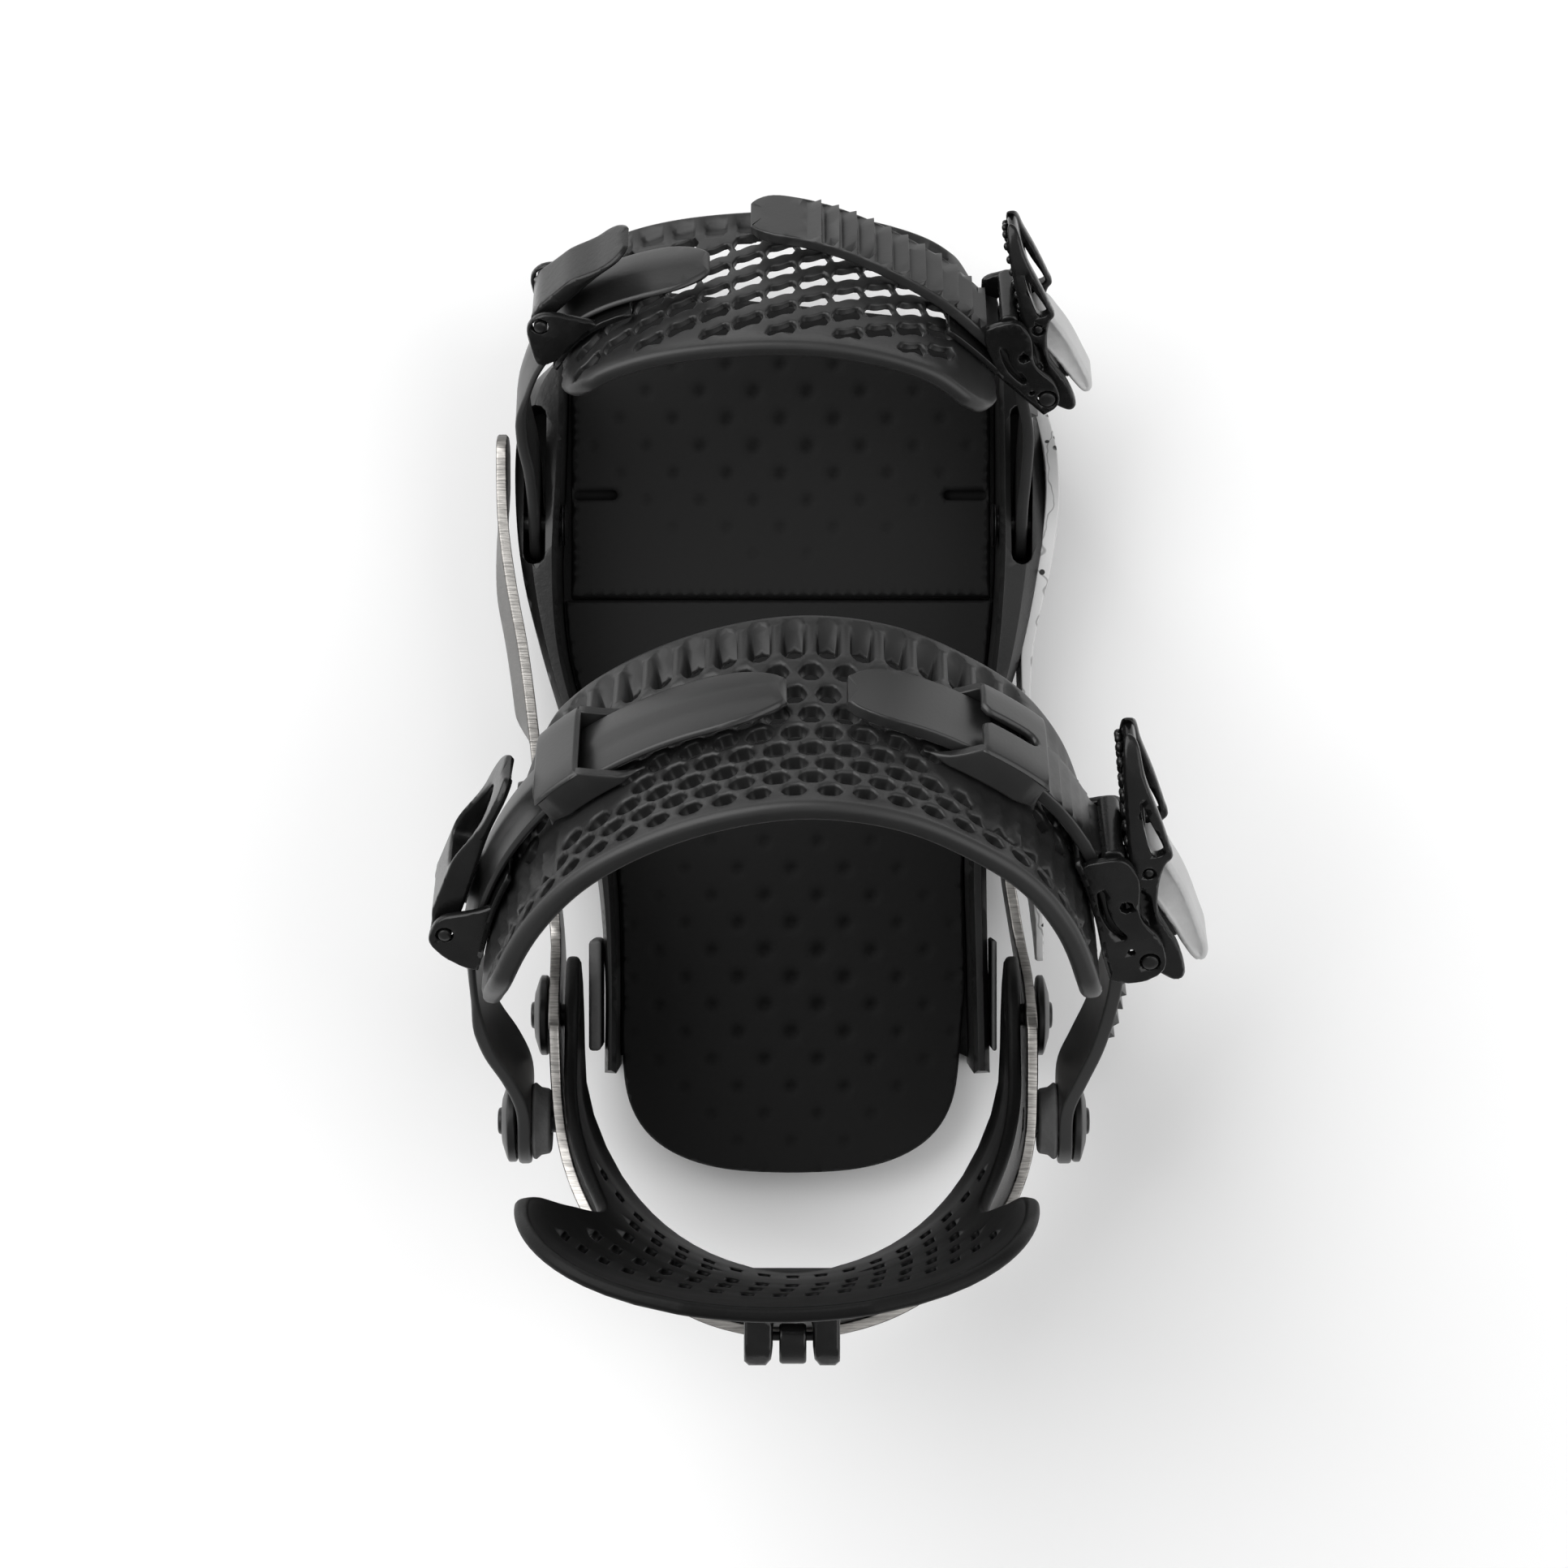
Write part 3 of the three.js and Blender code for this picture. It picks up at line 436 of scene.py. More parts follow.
def inside(spots, loop):
    low, high = loop.min(0), loop.max(0)
    near = np.flatnonzero(np.all((spots >= low) & (spots <= high), axis=1))
    x, y = spots[near].T
    within = np.zeros(len(near), bool)
    for (x0, y0), (x1, y1) in zip(loop, np.roll(loop, -1, 0)):
        if y0 != y1:
            within ^= ((y0 > y) != (y1 > y)) & (x < (x1 - x0) * (y - y0) / (y1 - y0) + x0)
    result = np.zeros(len(spots), bool)
    result[near] = within
    return result


def distance(spots, loops, reach):
    """The distance from each spot to the nearest loop, or reach where that is nearer."""
    best = np.full(len(spots), float(reach))
    for loop in loops:
        near = np.flatnonzero(np.all((spots > loop.min(0) - reach) & (spots < loop.max(0) + reach), axis=1))
        if not len(near):
            continue
        local, found = spots[near], best[near]
        for start, end in zip(loop, np.roll(loop, -1, 0)):
            span = end - start
            share = np.clip((local - start) @ span / max(span @ span, 1e-12), 0, 1)
            found = np.minimum(found, np.linalg.norm(local - start - share[:, None] * span, axis=1))
        best[near] = found
    return best


def roll(away, radius):
    """How far a rounded edge has dropped at a distance away from it."""
    short = np.clip(radius - away, 0, radius)
    return radius - np.sqrt(radius**2 - short**2)


def thin(spots, gap):
    """Keeps one spot in each cell of a grid with that gap."""
    _, first = np.unique(np.floor(spots / gap).astype(int), axis=0, return_index=True)
    return spots[np.sort(first)]


def sheet_mesh(name, outline, holes, place, top, bottom, spacing, rim=1.5, lip=0.6, recesses=(), creases=()):
    """A closed sheet with rounded edges, rounded holes and recesses, drawn flat and then put in place.

    top and bottom give the heights of its two skins. A recess is (loop, depth, slope): its depth is a
    function of the spots, and it is reached slope millimetres inside the loop.
    """
    outline = anticlockwise(outline)
    holes = [anticlockwise(hole) for hole in holes]
    recesses = [(anticlockwise(loop), depth, slope) for loop, depth, slope in recesses]
    fixed = [outline, *holes]
    for loop, _, slope in recesses:
        fixed += [loop, shifted(loop, slope)]
    rings = [shifted(outline, rim * share) for share in (0.08, 0.3, 0.65, 1.05)]
    rings += [shifted(hole, -lip * share) for hole in holes for share in (0.25, 1.0)]
    rings = thin(np.vstack(rings), 0.3)
    rings = rings[distance(rings, fixed, 0.12) >= 0.1]
    low, high = outline.min(0), outline.max(0)
    rows = np.arange(low[1], high[1], spacing * 0.87)
    starts = low[0], low[0] + spacing / 2
    grid = np.vstack([np.stack(np.broadcast_arrays(np.arange(starts[k % 2], high[0], spacing), row), -1)
                      for k, row in enumerate(rows)])
    taken = kdtree.KDTree(len(rings))
    for index, spot in enumerate(rings):
        taken.insert((*spot, 0), index)
    taken.balance()
    grid = grid[distance(grid, fixed, spacing) > spacing * 0.5]
    grid = grid[[taken.find((*spot, 0))[2] > spacing * 0.5 for spot in grid]]
    soft = np.vstack([rings, grid])
    soft = soft[inside(soft, outline)]
    for hole in holes:
        soft = soft[~inside(soft, hole)]
    if creases:
        soft = soft[distance(soft, [np.array(crease) for crease in creases], 0.5) > 0.45]
    spots, edges = [], []
    for line, gap in [(loop, 0) for loop in fixed] + [(crease, 1) for crease in creases]:
        first, count = len(spots), len(line)
        spots += [Vector(spot) for spot in line]
        edges += [(first + k, first + (k + 1) % count) for k in range(count - gap)]
    spots += [Vector(spot) for spot in soft]
    found = geometry.delaunay_2d_cdt(spots, edges, [], 1, 1e-5)
    spots = np.array([tuple(spot) for spot in found[0]])
    faces = np.array([face for face in found[2] if len(face) == 3])
    centres = spots[faces].mean(axis=1)
    solid = inside(centres, outline)
    for hole in holes:
        solid &= ~inside(centres, hole)
    faces = faces[solid]
    used, packed = np.unique(faces, return_inverse=True)
    spots, faces = spots[used], packed.reshape(-1, 3)
    (ax, ay), (bx, by) = (spots[faces[:, k]].T - spots[faces[:, 0]].T for k in (1, 2))
    clockwise = ax * by - ay * bx < 0
    faces[clockwise] = faces[clockwise][:, ::-1]
    rolled = roll(distance(spots, [outline], rim), rim)
    if holes:
        rolled = np.maximum(rolled, roll(distance(spots, holes, lip), lip))
    upper = top(spots) - rolled
    lower = bottom(spots) + rolled
    for loop, depth, slope in recesses:
        held = inside(spots, loop)
        upper[held] -= depth(spots[held]) * step(distance(spots[held], [loop], slope), 0, slope)
    middle = (upper + lower) / 2
    upper, lower = np.maximum(upper, middle + 0.1), np.minimum(lower, middle - 0.1)
    count = len(spots)
    sides = {}
    for a, b, c in faces.tolist():
        for side in ((a, b), (b, c), (c, a)):
            sides[side] = sides.get(side, 0) + 1
    walls = [(b, a, a + count, b + count) for a, b in sides if (b, a) not in sides]
    mesh = bpy.data.meshes.new(name)
    points = np.vstack([place(spots, upper), place(spots, lower)])
    skins = faces.tolist() + (faces[:, ::-1] + count).tolist()
    mesh.from_pydata(points.tolist(), [], skins + walls)
    mesh.validate()
    return mesh


def flat(value):
    return lambda spots: np.full(len(spots), float(value))


def rectangle(start, end, reach):
    return [(start, -reach), (end, -reach), (end, reach), (start, reach)]


def polygon(x, y, width, height, sides=6, turn=0.0, soft=0.35):
    """A rounded polygon: each corner is replaced by two."""
    loop = []
    for k in range(sides):
        for shift in (-soft, soft):
            angle = 2 * math.pi * (k + shift * 0.5) / sides + turn
            loop.append((x + math.cos(angle) * width / 2, y + math.sin(angle) * height / 2))
    return loop


def ring(x, y, radius, sides=18, stretch=1.0):
    return [(x + stretch * radius * math.cos(a), y + radius * math.sin(a))
            for a in np.linspace(0, 2 * math.pi, sides, endpoint=False)]


def pill(x, y, width, height, steps=5):
    """A loop with round ends; it lies along its longer side."""
    radius = min(width, height) / 2
    dx, dy = max(width / 2 - radius, 0), max(height / 2 - radius, 0)
    start = -math.pi / 2 if width >= height else 0
    loop = []
    for end in (0, 1):
        cx, cy = (x + (dx if end == 0 else -dx), y + (dy if end == 0 else -dy))
        for k in range(steps + 1):
            angle = start + math.pi * (end + k / steps)
            loop.append((cx + radius * math.cos(angle), cy + radius * math.sin(angle)))
    return loop


def bone(x, y, reach, rise, lobe, waist, steps=4):
    """A wavy hole: two round lobes joined by a narrower waist, one lobe higher than the other."""
    loop = []
    for side in (1, -1):
        for k in range(-steps, steps + 1):
            share = side * k / steps
            half = mix(waist, lobe, share * share)
            cap = math.sqrt(max(1 - max(abs(share) - 0.55, 0) ** 2 / 0.2025, 0.02))
            loop.append((x + reach * share, y + rise * math.sin(share * math.pi / 2) - side * half * cap))
    return loop


# ---------------------------------------------------------------- strap pads
def band(path, low, high, count, reach=0.05):
    """A pad's flat outline, as (distance along, w), which narrows at both ends so that its corners are round."""
    share = np.linspace(0, 1, count)
    near = np.clip(1 - np.minimum(share, 1 - share) / reach, 0, 1)
    middle, half = (low(share) + high(share)) / 2, (high(share) - low(share)) / 2 * np.sqrt(1 - 0.5 * near**2)
    s = share * path.length
    lower, upper = pairs(s, middle - half), pairs(s, middle + half)
    far, near = (np.linspace(a, b, 7)[1:-1] for a, b in ((lower[-1], upper[-1]), (upper[0], lower[0])))
    return np.vstack([lower, far, upper[::-1], near])


PAD_HALF, SCALLOP_PITCH = 2.7, 6.0


def make_ankle_pad():
    length = ankle_path.length
    low = lambda t: mix(8, -41, step(t, 0, 0.2)) + 17 * step(t, 0.93, 1)
    high = lambda t: mix(33, 41, step(t, 0, 0.08)) - 5 * step(t, 0.93, 1)
    outline = band(ankle_path, low, high, 150)
    pitch = 8.25
    rows = [(-16.2, 5.2, 6.4, 0.5), (-6.6, 5.3, 6.6, 0), (2.0, 5.4, 6.2, 0.5), (9.8, 5.5, 5.6, 0),
            (16.4, 5.6, 4.9, 0.5), (22.4, 5.7, 4.5, 0), (28.0, 5.7, 4.2, 0.5), (33.4, 5.6, 3.9, 0)]
    plates = [(0.175, 0.29, 16.5), (0.665, 0.79, 16.5), (-1, 0.13, 15), (0.865, 2, 15)]
    holes = []
    for row, width, height, shift in rows:
        for k in range(int(length / pitch) + 1):
            s = (k + shift) * pitch
            t = s / length
            w = row + float(high(t)) - 41
            room = min(w - height / 2 - float(low(t)) - 4.2, float(high(t)) - w - height / 2 - 4.2)
            plain = any(start < t < end and abs(w) < half for start, end, half in plates)
            ribbed = (t > 0.72 or t < 0.2) and 12 < w < 23
            if 0.025 < t < 0.975 and room > 0 and not plain and not ribbed and not (t > 0.78 and w < -14):
                size = min(1.0, 0.74 + room * 0.14)
                holes.append(polygon(s, w, width * size * 1.1, height * size * 1.19))
    recesses = []
    for k in range(int(length / pitch) + 1):
        s = k * pitch
        t = s / length
        if 0.175 < t < 0.8:
            front = float(low(t))
            ramp = lambda spots, front=front: 0.6 + 3.2 * step(spots[:, 1], front + 3, front + 13)
            recesses.append((pill(s, front + 11.6, 6.2, 17.4, 6), ramp, 0.8))
            holes.append(pill(s, front + 15.0, 4.5, 8.0, 4))

    def top(spots):
        s, w = spots.T
        t = s / length
        front, rear = w - low(t), high(t) - w
        net = step(front, 3.5, 6.5) * step(rear, 3.2, 4.6) * step(front, 18, 22)
        height = PAD_HALF - 0.75 * net
        scallop = np.abs(np.cos(math.pi * s / SCALLOP_PITCH))
        ribs = np.maximum(step(t, 0.69, 0.71), 1 - step(t, 0.19, 0.21)) * step(w, 12, 14.5) * step(rear, 9, 14)
        height -= 1.8 * ribs * scallop * step(t, 0.02, 0.04) * (1 - step(t, 0.96, 0.98))
        front_ribs = step(t, 0.8, 0.82) * (1 - step(t, 0.94, 0.96)) + (1 - step(t, 0.16, 0.18)) * step(t, 0.05, 0.07)
        return height - 0.9 * front_ribs * scallop * step(front, 3, 6) * (1 - step(front, 12, 16))

    mesh = sheet_mesh("ankle_pad_moulding", outline, holes, ankle_frame.on(ankle_path), top, flat(-PAD_HALF), 2.6,
                      rim=2.1, lip=0.95, recesses=recesses)
    piece_from(mesh, "ankle_pad")


TOE_PAD_HALF = 2.2


def make_toe_pad():
    length = toe_path.length
    low = lambda t: mix(-14, -30, step(t, 0, 0.16)) + 12 * step(t, 0.88, 1)
    high = lambda t: mix(24, 30, step(t, 0, 0.1)) - 4 * step(t, 0.9, 1)
    outline = band(toe_path, low, high, 110)
    pitch, rise = 8.3, 8.8
    holes, recesses = [], []
    for k in range(int(length / pitch) + 1):
        s = (k + 0.4) * pitch
        t = s / length
        front, rear = float(low(t)), float(high(t))
        for j in range(-4, 5):
            w = j * rise + (k % 2) * rise / 2 + 0.2
            if 0.09 < t < 0.845 and min(w - front - 11.5, rear - w - 7.7) > 0:
                holes.append(bone(s, w, 3.75, -1.3, 3.7, 2.2))
        if 0.1 < t < 0.86:
            recesses.append((polygon(s, front + 6.3, 7.4, 6.6, 4, math.pi / 4, 0.3), flat(1.3), 0.5))

    def rims(spots):
        t = spots[:, 0] / length
        return t, step(high(t) - spots[:, 1], 5.0, 6.2), spots[:, 1] - low(t)

    def top(spots):
        t, rear, front = rims(spots)
        return TOE_PAD_HALF - rear * step(front, 2.6, 3.6) * step(t, 0.05, 0.09) * (1 - step(t, 0.85, 0.87))

    def bottom(spots):
        _, rear, front = rims(spots)
        return 1.2 * rear * step(front, 9, 11) - TOE_PAD_HALF

    mesh = sheet_mesh("toe_pad_moulding", outline, holes, toe_frame.on(toe_path), top, bottom, 2.4,
                      rim=1.7, lip=0.5, recesses=recesses)
    piece_from(mesh, "toe_strap_pad")


# ---------------------------------------------------------------- footbed
def cap_loop(node, height):
    """The outline of a CAD node's flat top, in millimetres."""
    shape = bmesh.new()
    shape.from_mesh(nodes[node].data)
    bmesh.ops.remove_doubles(shape, verts=shape.verts, dist=2e-6)
    shape.faces.ensure_lookup_table()
    cap = [face for face in shape.faces if all(abs(v.co.z / MM - height) < 0.02 for v in face.verts)]
    ways = {}
    for face in cap:
        for loop in face.loops:
            a, b = loop.vert, loop.link_loop_next.vert
            if not any(other is not face and other in cap for other in loop.edge.link_faces):
                ways[a.index] = (b.index, (a.co.x / MM, a.co.y / MM))
    start = at = next(iter(ways))
    loop = []
    while True:
        at, spot = ways[at]
        loop.append(spot)
        if at == start:
            break
    shape.free()
    return np.array(loop)


def resampled(loop, gap):
    """Puts extra corners on a loop's long straight sides."""
    spots = []
    for start, end in zip(loop, np.roll(loop, -1, 0)):
        count = max(1, int(np.linalg.norm(end - start) / gap))
        spots += [start + (end - start) * k / count for k in range(count)]
    return np.array(spots)


def dimple_field(centre, reach, depth):
    """Staggered round dimples that are largest around the centre and fade out by reach."""
    pitch, rise = 14.4, 7.3

    def drop(spots):
        row = np.round((spots[:, 1] - centre[1]) / rise)
        total = np.zeros(len(spots))
        for shift in (-1, 0, 1):
            line = row + shift
            y = centre[1] + line * rise
            offset = np.where(np.mod(line, 2) == 0, 0.0, pitch / 2)
            x = centre[0] + offset + np.round((spots[:, 0] - centre[0] - offset) / pitch) * pitch
            far = np.hypot((x - centre[0]) / reach[0], (y - centre[1]) / reach[1])
            size = np.clip(1.15 - 0.62 * far, 0, 1)
            radius = 3.3 * size + 0.05
            away = np.hypot(spots[:, 0] - x, spots[:, 1] - y) / radius
            total = np.maximum(total, depth * size * (1 - step(away, 0.15, 1)) * (far < 1.15))
        return total
    return drop


def flat_place(spots, height):
    return np.column_stack([spots, height]) * MM


def smoothed(loop, part, rounds=8):
    """Irons out the facets of the part of a loop where part is true."""
    for _ in range(rounds):
        average = (np.roll(loop, 1, 0) + np.roll(loop, -1, 0)) / 4 + loop / 2
        loop = np.where(part(loop)[:, None], average, loop)
    return loop


def make_footbed():
    heel_drop = dimple_field((2, -52), (41, 48), 1.6)
    heel = smoothed(resampled(cap_loop("heel_pad", 18), 2), lambda spots: spots[:, 1] < -60)
    mesh = sheet_mesh("heel_pad_foam", heel, [], flat_place, lambda spots: 18 - heel_drop(spots), flat(8.3), 1.5,
                      rim=0.9)
    piece_from(mesh, "heel_pad")
    toe_drop = dimple_field((-1, 98), (50, 34), 1.5)
    toe = resampled(cap_loop("toe_pad", 19), 3)
    slots = [(pill(-50.6, 77.5, 12.2, 3.0), flat(2.6), 0.15), (pill(48.6, 77.5, 12.0, 3.0), flat(2.6), 0.15)]
    mesh = sheet_mesh("toe_pad_foam", toe, [], flat_place, lambda spots: 19 - toe_drop(spots), flat(12.3), 1.5,
                      rim=0.9, recesses=slots)
    piece_from(mesh, "toe_pad")


# ---------------------------------------------------------------- highback
BACK_SPAN = 82.0  # from the middle to where the shell turns straight forward, measured around it
WING = 70  # millimetres of straight shell for each unit of q past 1


def back_line(z):
    return -130.7 + (z - 30) * 0.071


def back_centre(z):
    return mix(HEEL_CENTRE_X, -1.6, step(z, 110, 200))


def back_width(z):
    return 54.2 + 2.6 * step(z, 36, 54) + 1.4 * step(z, 110, 200)


def back_depth(z):
    return mix(54.7, 25, step(z, 50, 210))


def back_spot(q, z):
    turn = np.minimum(np.abs(q), 1) * math.pi / 2
    x = back_centre(z) + np.sign(q) * back_width(z) * np.sin(turn)
    y = back_line(z) + back_depth(z) * (1 - np.cos(turn)) + np.maximum(np.abs(q) - 1, 0) * WING
    return np.stack([x, y, z], -1)


def back_place(spots, height):
    q, z = spots[:, 0] / BACK_SPAN, spots[:, 1]
    along = back_spot(q + 0.01, z) - back_spot(q - 0.01, z)
    up = back_spot(q, z + 1) - back_spot(q, z - 1)
    normal = np.cross(up, along)
    normal /= np.linalg.norm(normal, axis=1, keepdims=True)
    return (back_spot(q, z) - normal * np.asarray(height)[:, None]) * MM


def back_turn(y, z):
    """Which q puts the highback's surface at that y."""
    share = (y - back_line(z)) / back_depth(z)
    bend = np.arccos(np.clip(1 - share, -1, 1)) / (math.pi / 2)
    return np.where(share > 1, 1 + (y - back_line(z) - back_depth(z)) / WING, bend)


def make_highback():
    side = Path([(-46, 50), (-45, 60), (-53, 68), (-70, 73), (-88, 84), (-102, 102), (-105, 122), (-101, 150),
                 (-96, 178), (-95, 200), (-99, 219), (-107, 233), (-114, HIGHBACK_TOP)])
    front = side.spot(np.linspace(0, side.length, 90))
    foot = np.array([(-108.5, 36.6), (-104, 37.6), (-96, 39), (-87, 41.8), (-78, 44.5), (-69, 45.8), (-60, 46.5),
                     (-52, 47.8)])
    half = np.vstack([foot, front])
    q = back_turn(half[:, 0], half[:, 1]) * BACK_SPAN
    right = pairs(q, half[:, 1])
    notch = np.array([(9.6, 41.5), (10.6, HIGHBACK_BOTTOM)])
    base = pairs(np.linspace(13, right[0, 0] - 3, 8), np.full(8, HIGHBACK_BOTTOM))
    crown = pairs(np.linspace(right[-1, 0], 0, 14)[1:-1], np.full(12, float(HIGHBACK_TOP)))
    right = np.vstack([notch, base, right, crown])
    outline = np.vstack([right, right[::-1] * (-1, 1)])
    holes = []
    for z in (76, 102, 128, 154, 180):
        for column in range(-8, 9):
            u = column * 6.9
            limit = float(np.interp(z, front[20:, 1], q[len(foot) + 20:])) - 9
            if abs(u) < min(limit, 60) and not (abs(u) < 16 and 80 < z < 112):
                holes.append(pill(u, z, 3.0, 16 - 0.07 * abs(u), 4))
    pivot = back_turn(np.array(FOLD_PIVOT[0]), np.array(FOLD_PIVOT[1])) * BACK_SPAN
    holes += [ring(sign * pivot, FOLD_PIVOT[1], PIVOT_HOLE, 16, BACK_SPAN / WING) for sign in (1, -1)]
    border = [(shifted(anticlockwise(outline), 3.0), flat(0.9), 1.0)]
    mesh = sheet_mesh("highback_shell", outline, holes, back_place, flat(HIGHBACK_THICKNESS / 2),
                      flat(-HIGHBACK_THICKNESS / 2), 4.0, rim=1.3, lip=0.35, recesses=border)
    piece_from(mesh, "highback")


# ---------------------------------------------------------------- straps
EYE_LEAD = 11.5  # from the strap's end to the middle of its eye
TOOTH_PITCH, TOOTH_HEIGHT, TOOTH_MARGIN = 4.4, 1.6, 1.3


def strap_outline(length, half, tip_reach, tip_blunt, shift=lambda s: 0 * s, count=90):
    """A strap's flat outline: a round eye around s = EYE_LEAD at one end, a rounded tongue at the other."""
    angles = np.linspace(math.pi * 0.5, math.pi * 1.5, 15)
    eye = pairs(EYE_LEAD + half * np.cos(angles), half * np.sin(angles))
    s = np.linspace(EYE_LEAD + 3, length, count)
    share = np.clip((s - (length - tip_reach)) / tip_reach, 0, 1)
    width = half * (1 - share ** tip_blunt) ** (1 / tip_blunt)
    keep = width > half * 0.02
    s, width = s[keep], width[keep]
    return np.vstack([eye, strip(s, shift(s) - width, shift(s) + width)])


def beside(path, start, end, count, away=6.9):
    s = np.linspace(start, end, count) * path.length
    return [tuple(spot) for spot in path.off(s, away)]


def strap_piece(node, frame, path, outline, top, thick, spacing, rim, side=1, creases=(), **edges):
    mesh = sheet_mesh(node + "_moulding", outline, [ring(EYE_LEAD, 0, PIVOT_HOLE)], frame.on(path, side), top,
                      flat(-thick / 2), spacing, rim=rim, lip=0.4, creases=creases)
    piece_from(mesh, node, **edges)


def mount_strap(node, frame, tail, over, half, thick, tip):
    """The plain strap: crowned, with a raised flat along its middle and a rounded tongue."""
    path = Path([(tail[0][0], -EYE_LEAD), *tail, *over])

    def top(spots):
        w = spots[:, 1] / half
        return thick / 2 - step(spots[:, 0], 50, 62) * (0.9 * np.abs(w) ** 2.4 + 0.7 * step(w, -0.02, 0.22))

    strap_piece(node, frame, path, strap_outline(path.length, half, tip, 1.9), top, thick, 3.0, 0.9)


def ladder_strap(node, frame, over, rise, half, thick, tip, teeth, drift, faint=-1):
    """The toothed strap. Its path runs from the pivot up to the tip.

    teeth are the shares of the length, from the tip, between which it is toothed. They are lower before faint.
    """
    path = Path([(rise[-1][0], -EYE_LEAD), *rise[::-1], *over[::-1]])
    length = path.length
    cad_length = length - EYE_LEAD + 1.3

    def shift(s):
        return drift * (1 - step((length - s) / cad_length, 0, 0.5))

    first, last = length - teeth[0] * cad_length, length - teeth[1] * cad_length
    count = int((first - last) / TOOTH_PITCH)
    reach = half - TOOTH_MARGIN
    creases = []
    for k in range(count):
        for share in (0, 0.8, 0.84):
            s = first - (k + share) * TOOTH_PITCH
            creases.append([(s, float(shift(s)) + w) for w in np.linspace(-reach, reach, 6)])

    def top(spots):
        s, w = spots[:, 0], spots[:, 1] - shift(spots[:, 0])
        phase = (first - s) / TOOTH_PITCH
        rising = np.mod(phase + 1e-6, 1)
        raised = (phase >= -1e-4) & (phase < count) & (np.abs(w) < reach + 0.01) & (rising < 0.82)
        height = TOOTH_HEIGHT * mix(0.25, 1, step((length - s) / cad_length, faint, faint + 0.05))
        return thick / 2 + np.where(raised, height * (np.clip(rising / 0.8, 0, 1) * 1.25 - 0.25), 0)

    strap_piece(node, frame, path, strap_outline(length, half, tip, 2.1, shift), top, thick, 3.2, 0.6, -1, creases,
                bevel=0.12, segments=1, angle=38)


def make_straps():
    mount_strap("ankle_mount_strap", ankle_frame,
                [(-66.7, -1.3), (-66.7, 12), (-69.6, 21), (-74.5, 31), (-77.6, 44), (-78.4, 56)],
                beside(ankle_path, 0.01, 0.5, 13), 11, 3.4, 22)
    mount_strap("toe_mount_strap", toe_frame,
                [(-65.6, -1.3), (-65.6, 14), (-66.2, 24), (-67.6, 34), (-67.4, 44), (-64.6, 54)],
                beside(toe_path, 0.02, 0.37, 9), 9.5, 3.0, 15)
    ladder_strap("ankle_ladder", ankle_frame, beside(ankle_path, 0.545, 0.99, 13),
                 [(82.8, 54), (81.6, 44), (79, 32), (75.2, 21), (72.3, 12), (72.3, -1.3)], 11, 3.4, 17,
                 (0.2, 0.8), 0, 0.42)
    ladder_strap("toe_ladder", toe_frame, beside(toe_path, 0.43, 0.99, 11),
                 [(61.3, 46), (63, 36), (62.9, 24), (62.4, 13), (62.4, -1.3)], 9.5, 3.0, 10, (0.115, 0.72), -19)


# ---------------------------------------------------------------- buckles
def closed_curve(points, fineness=5):
    """A smooth closed loop through points."""
    p = np.array(points, float)
    wrapped = Path([*p[-2:], *p, *p[:3]], fineness).points
    return wrapped[2 * fineness:(2 + len(p)) * fineness]


def joined(name, meshes):
    """One mesh made of several closed bodies."""
    shape = bmesh.new()
    for mesh in meshes:
        shape.from_mesh(mesh)
        bpy.data.meshes.remove(mesh)
    mesh = bpy.data.meshes.new(name)
    shape.to_mesh(mesh)
    shape.free()
    return mesh


def turned(profile, centre, axis, sides=20):
    """A turned body: its profile is a list of (radius, distance along the axis), in millimetres."""
    axis = Vector(axis).normalized()
    across = axis.orthogonal().normalized()
    third = axis.cross(across)
    points, faces = [], []
    for radius, along in profile:
        for k in range(sides):
            angle = 2 * math.pi * k / sides
            arm = across * math.cos(angle) + third * math.sin(angle)
            points.append((Vector(centre) + axis * along + arm * radius) * MM)
    for row in range(len(profile) - 1):
        for k in range(sides):
            a, b = row * sides + k, row * sides + (k + 1) % sides
            faces.append((a, b, b + sides, a + sides))
    faces.append(list(range(sides))[::-1])
    faces.append([(len(profile) - 1) * sides + k for k in range(sides)])
    mesh = bpy.data.meshes.new("turned")
    mesh.from_pydata(points, [], faces)
    return mesh


